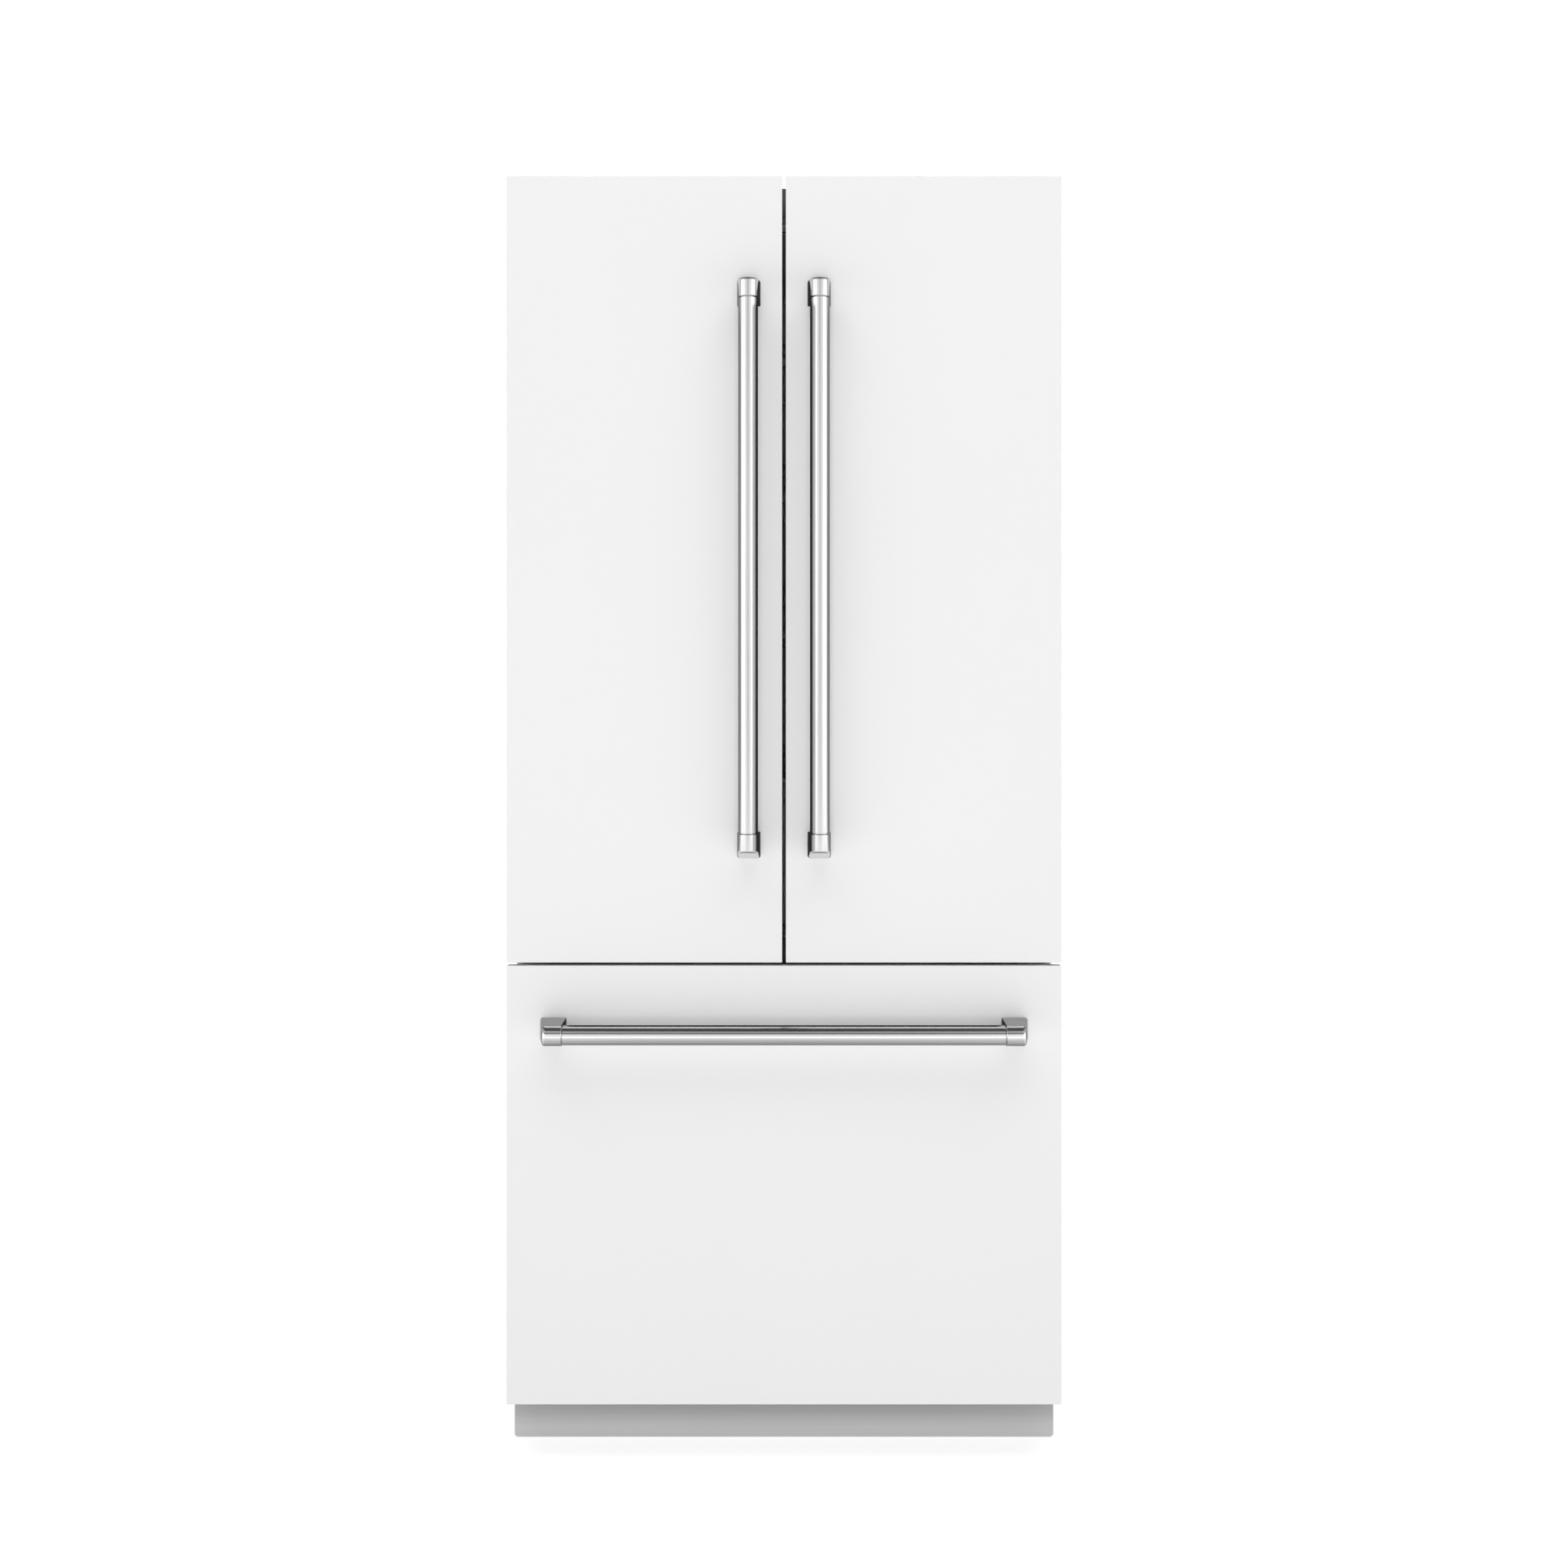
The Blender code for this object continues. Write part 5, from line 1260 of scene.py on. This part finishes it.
def iceMaker():
    look = iceLook
    low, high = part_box("ice_maker")
    front = low.y
    points = armPoints(low.x + 0.010, high.x + 0.006, front)
    parts = [
        (cadCopy("ice_maker", look["edge"], 3), trimWhite),
        (wire(points, look["wire"], look["wireSides"]), brightZinc),
    ]
    # the vent slots are black strips on the face: painted shade in place of openings
    left, right = low.x + look["slotInset"][0], high.x - look["slotInset"][1]
    for index in range(look["slots"]):
        z = high.z - look["slotDrop"] - index * look["slotPitch"]
        start = (left, front - 0.0006, z - look["slotHalf"])
        end = (right, front + 0.002, z + look["slotHalf"])
        parts.append((block(start, end, 0.0004, 1), blackPlasticAndSlotShade))
    (left, right), (down, up) = look["switchInset"], look["switchDrop"]
    start = (high.x - left, front - 0.0030, high.z - down)
    end = (high.x - right, front + 0.002, high.z - up)
    parts.append((block(start, end, 0.0012, 2), nylonGrey))
    return parts


piece("ice_maker_moulding", "cabinet", iceMaker(), ["ice_maker"])
print("inner covers made")


# CAD nodes whose shape stays
# the front frame takes the dark paint that stands in for the shade in the gap between the doors
recoat(gapShadePaint, "front_frame")
recoat(zincSheet, "base_frame")
recoat(linerWhite, "insulated_body")
recoat(blackShell, "compressor")
recoat(brightZinc, "rail_outer_left", "rail_outer_right", "rail_middle_left", "rail_middle_right")
recoat(brightZinc, "drawer_frame")
recoat(finMetal, "condenser", "evaporator")
recoat(blackPlasticAndSlotShade, "condenser_fan", "evaporator_fan")
print("kept nodes coated")


# Stage
stageLook = {
    "floor": (0.96, 0.96, 0.96),
    "floorSize": 14.0,
    "fill": 0.23,
    "backdrop": 1.2,
    "frontPower": 45.0,
    "overPower": 232.0,
    "rearPower": 48.0,
    "fadeStart": 0.45,
    "fadeEnd": 3.0,
    "table": 0.72,
    "shineNear": 0.42,
    "shineFar": 1.35,
}


white = (1.0, 1.0, 1.0, 1.0)


def makeFloor():
    shape = bmesh.new()
    bmesh.ops.create_grid(shape, x_segments=1, y_segments=1, size=stageLook["floorSize"])
    finish = Finish("floor", stageLook["floor"], 0.9, Specular_IOR_Level=0.1)
    # lit from below like a light table, and fades into the backdrop away from the object
    away = finish.node("VectorMath", {"operation": "LENGTH"}, {0: finish.place}, "Value")
    start, end = stageLook["fadeStart"], stageLook["fadeEnd"]
    distance = (away - start) * (1 / (end - start))
    share = finish.ramp(distance, (0.0, stageLook["table"]), (1.0, 1.0))
    bright = finish.node("Emission", {}, {"Color": white, "Strength": stageLook["backdrop"]})
    painted = Wire(finish, finish.shader.outputs[0])
    plain = finish.node("MixShader", {}, {0: share, 1: painted, 2: bright})
    shine = finish.ramp(distance, (0.0, stageLook["shineNear"]), (1.0, stageLook["shineFar"]))
    mirrored = finish.node("Emission", {}, {"Color": shine, "Strength": 1.0})
    glossy = finish.node("LightPath", {}, {}, "Is Glossy Ray")
    whole = finish.node("MixShader", {}, {0: glossy, 1: plain, 2: mirrored})
    finish.put(finish.tree.nodes["Material Output"].inputs["Surface"], whole)
    floor = meshObject("floor", [(shape, finish)])


# What the metal sees: bright boxes beside the camera, a dim band between them, a dark ceiling.
# "round" goes from straight ahead to behind, and "above" from the horizon to overhead.
studioLook = {
    "round": (
        (0.0, 0.85), (0.035, 0.80), (0.080, 1.25), (0.16, 1.1),
        (0.19, 1.75), (0.43, 1.75), (0.50, 0.55), (1.0, 0.55),
    ),
    "above": (
        (0.0, 1.0), (0.20, 1.0), (0.26, 0.16), (0.38, 0.20),
        (0.46, 0.50), (0.56, 0.46), (0.65, 0.05), (1.0, 0.05),
    ),
}


def makeWorld():
    world = bpy.data.worlds.new("studio")
    bpy.context.scene.world = world
    world.use_nodes = True
    graph = Graph(world.node_tree)
    direction = graph.node("TexCoord", {}, {}, "Generated")
    across, deep, up = [graph.node("SeparateXYZ", {}, {0: direction}, axis) for axis in range(3)]
    turn = graph.node("Math", {"operation": "ARCTAN2"}, {0: across, 1: 0 - deep})
    round180 = graph.node("Math", {"operation": "ABSOLUTE"}, {0: turn}) * (1 / math.pi)
    rise = graph.node("Math", {"operation": "ARCSINE"}, {0: up}) * (2 / math.pi)
    level = graph.ramp(round180, *studioLook["round"]) * graph.ramp(rise, *studioLook["above"])
    levels = (level, stageLook["fill"], stageLook["backdrop"])
    shine, fill, backdrop = [
        graph.node("Background", {}, {"Color": white, "Strength": strength}) for strength in levels
    ]
    seen = graph.node("LightPath", {}, {}, "Is Camera Ray")
    glossy = graph.node("LightPath", {}, {}, "Is Glossy Ray")
    lit = graph.node("MixShader", {}, {0: glossy, 1: fill, 2: shine})
    whole = graph.node("MixShader", {}, {0: seen, 1: lit, 2: backdrop})
    graph.tree.links.new(whole.socket, graph.tree.nodes["World Output"].inputs["Surface"])


# Flags that only shiny surfaces see. They shade the flanks of the handle bars, and one more
# shades the top of the toe kick.
flagLook = {
    "reach": 0.100,
    "upright": ((0.0, 0.80), (0.42, 0.55), (0.47, 0.10), (0.52, 0.03), (1.0, 0.03)),
    "outer": 0.30,
    "inner": 0.03,
    "postTop": 0.34,
    "toe": ((0.0, 0.30), (1.0, 0.0)),
    "toeDrop": 0.042,
    "gap": 0.0015,
    "halfApart": 0.0004,
    "blend": 0.01,
}


def flag(name, axes, start, end, stops, along, turned=False, shades=False):
    # A card between two corners of its plane. Its light fades along one axis, and its back is
    # clear. One that shades also keeps soft light away.
    material = bpy.data.materials.new(name)
    material.use_nodes = True
    graph = Graph(material.node_tree)
    graph.tree.nodes.remove(graph.tree.nodes["Principled BSDF"])
    place = graph.node("TexCoord", {}, {}, "Object")
    spot = graph.node("SeparateXYZ", {}, {0: place}, along)
    share = (spot - start[along]) * (1 / (end[along] - start[along]))
    light = graph.node("Emission", {}, {"Color": graph.ramp(share, *stops), "Strength": 1.0})
    clear = graph.node("BsdfTransparent", {}, {})
    behind = graph.node("NewGeometry", {}, {}, "Backfacing")
    whole = graph.node("MixShader", {}, {0: behind, 1: light, 2: clear})
    graph.tree.links.new(whole.socket, graph.tree.nodes["Material Output"].inputs["Surface"])
    first, second = axes
    corners = [list(start) for _ in range(4)]
    for index in (1, 2):
        corners[index][first] = end[first]
    for index in (2, 3):
        corners[index][second] = end[second]
    mesh = bpy.data.meshes.new(name)
    mesh.from_pydata(corners[::-1] if turned else corners, [], [(0, 1, 2, 3)])
    mesh.materials.append(material)
    made = bpy.data.objects.new(name, mesh)
    bpy.context.scene.collection.objects.link(made)
    made.visible_camera = False
    made.visible_diffuse = made.visible_shadow = shades
    made.visible_transmission = made.visible_volume_scatter = False


def makeFlags():
    look = flagLook
    inner, outer, blend = look["inner"], look["outer"], look["blend"]
    barLow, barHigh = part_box("right_door_handle_bar")
    barX = (barLow.x + barHigh.x) / 2
    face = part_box("right_door_panel")[0].y
    near, far = face - look["reach"], face - look["gap"]
    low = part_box("right_door_handle_post_bottom")[0].z
    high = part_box("right_door_handle_post_top")[1].z
    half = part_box("freezer_panel")[1].x
    # between the two door handles, one for each side
    for name, side in (("flag_left", -1), ("flag_right", 1)):
        x = side * look["halfApart"]
        flag(name, (1, 2), (x, near, low), (x, far, barHigh.z), look["upright"], 1, side < 0)
    # in front of the door panels, beside the bars
    share = barX / half
    stops = ((0.0, inner), (share * 0.8, inner), (share * 1.2, outer), (1.0, outer))
    for name, side in (("flag_left_door", -1), ("flag_right_door", 1)):
        flag(name, (0, 2), (0.0, far, low), (side * half, far, high), stops, 0, side < 0)
    # in front of the drawer panel: over and under the bar, and beside its two ends
    barLow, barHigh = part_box("freezer_handle_bar")
    panelLow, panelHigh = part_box("freezer_panel")
    middle = ((barLow.z + barHigh.z) / 2 - panelLow.z) / (panelHigh.z - panelLow.z)
    cards = (
        ("flag_drawer", barLow.x, barHigh.x, inner),
        ("flag_drawer_left", panelLow.x, barLow.x, look["postTop"]),
        ("flag_drawer_right", barHigh.x, panelHigh.x, look["postTop"]),
    )
    for name, left, right, above in cards:
        stops = ((0.0, outer), (middle - blend, outer), (middle + blend, above), (1.0, above))
        flag(name, (0, 2), (left, far, panelLow.z), (right, far, panelHigh.z), stops, 2)
    # under the drawer panel, in front of the top of the toe kick
    edge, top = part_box("toe_kick")[1].x, panelLow.z
    start, end = (-edge, face, top - look["toeDrop"]), (edge, face, top)
    flag("flag_toe", (0, 2), start, end, look["toe"], 2, True, True)


def softbox(name, place, aim, size, power):
    light = bpy.data.lights.new(name, "AREA")
    light.shape = "RECTANGLE"
    light.size, light.size_y = size
    light.energy = power
    made = bpy.data.objects.new(name, light)
    bpy.context.scene.collection.objects.link(made)
    made.location = place
    made.rotation_euler = (Vector(aim) - Vector(place)).to_track_quat("-Z", "Y").to_euler()
    made.visible_glossy = made.visible_camera = False


cameraLook = {"distance": 2.5, "height": 1.195, "lens": 35.09, "sensor": 36.0, "shift": -0.035}


def makeCamera():
    camera = bpy.data.objects.new("camera", bpy.data.cameras.new("camera"))
    bpy.context.scene.collection.objects.link(camera)
    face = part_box("left_door_panel")[0].y
    camera.location = (0.0, face - cameraLook["distance"], cameraLook["height"])
    camera.rotation_euler = (math.radians(90.0), 0.0, 0.0)
    camera.data.lens = cameraLook["lens"]
    camera.data.sensor_width = cameraLook["sensor"]
    camera.data.shift_y = cameraLook["shift"]
    camera.data.clip_end = 100.0
    bpy.context.scene.camera = camera


makeFloor()
makeWorld()
makeFlags()
# each box: place, aim, size, power
boxLook = {
    "front_box": ((0.0, -4.2, 0.8), (0.0, 0.0, 0.9), (1.3, 1.3), stageLook["frontPower"]),
    "rear_left_box": ((-3.6, 2.6, 1.8), (-0.4, 0.0, 1.0), (2.4, 2.6), stageLook["rearPower"]),
    "rear_right_box": ((3.6, 2.6, 1.8), (0.4, 0.0, 1.0), (2.4, 2.6), stageLook["rearPower"]),
    "over_box": ((0.0, -0.9, 5.2), (0.0, -0.9, 0.0), (6.0, 6.0), stageLook["overPower"]),
}
for name, settings in boxLook.items():
    softbox(name, *settings)
makeCamera()
bpy.context.scene.view_settings.view_transform = "Standard"
print("stage set")
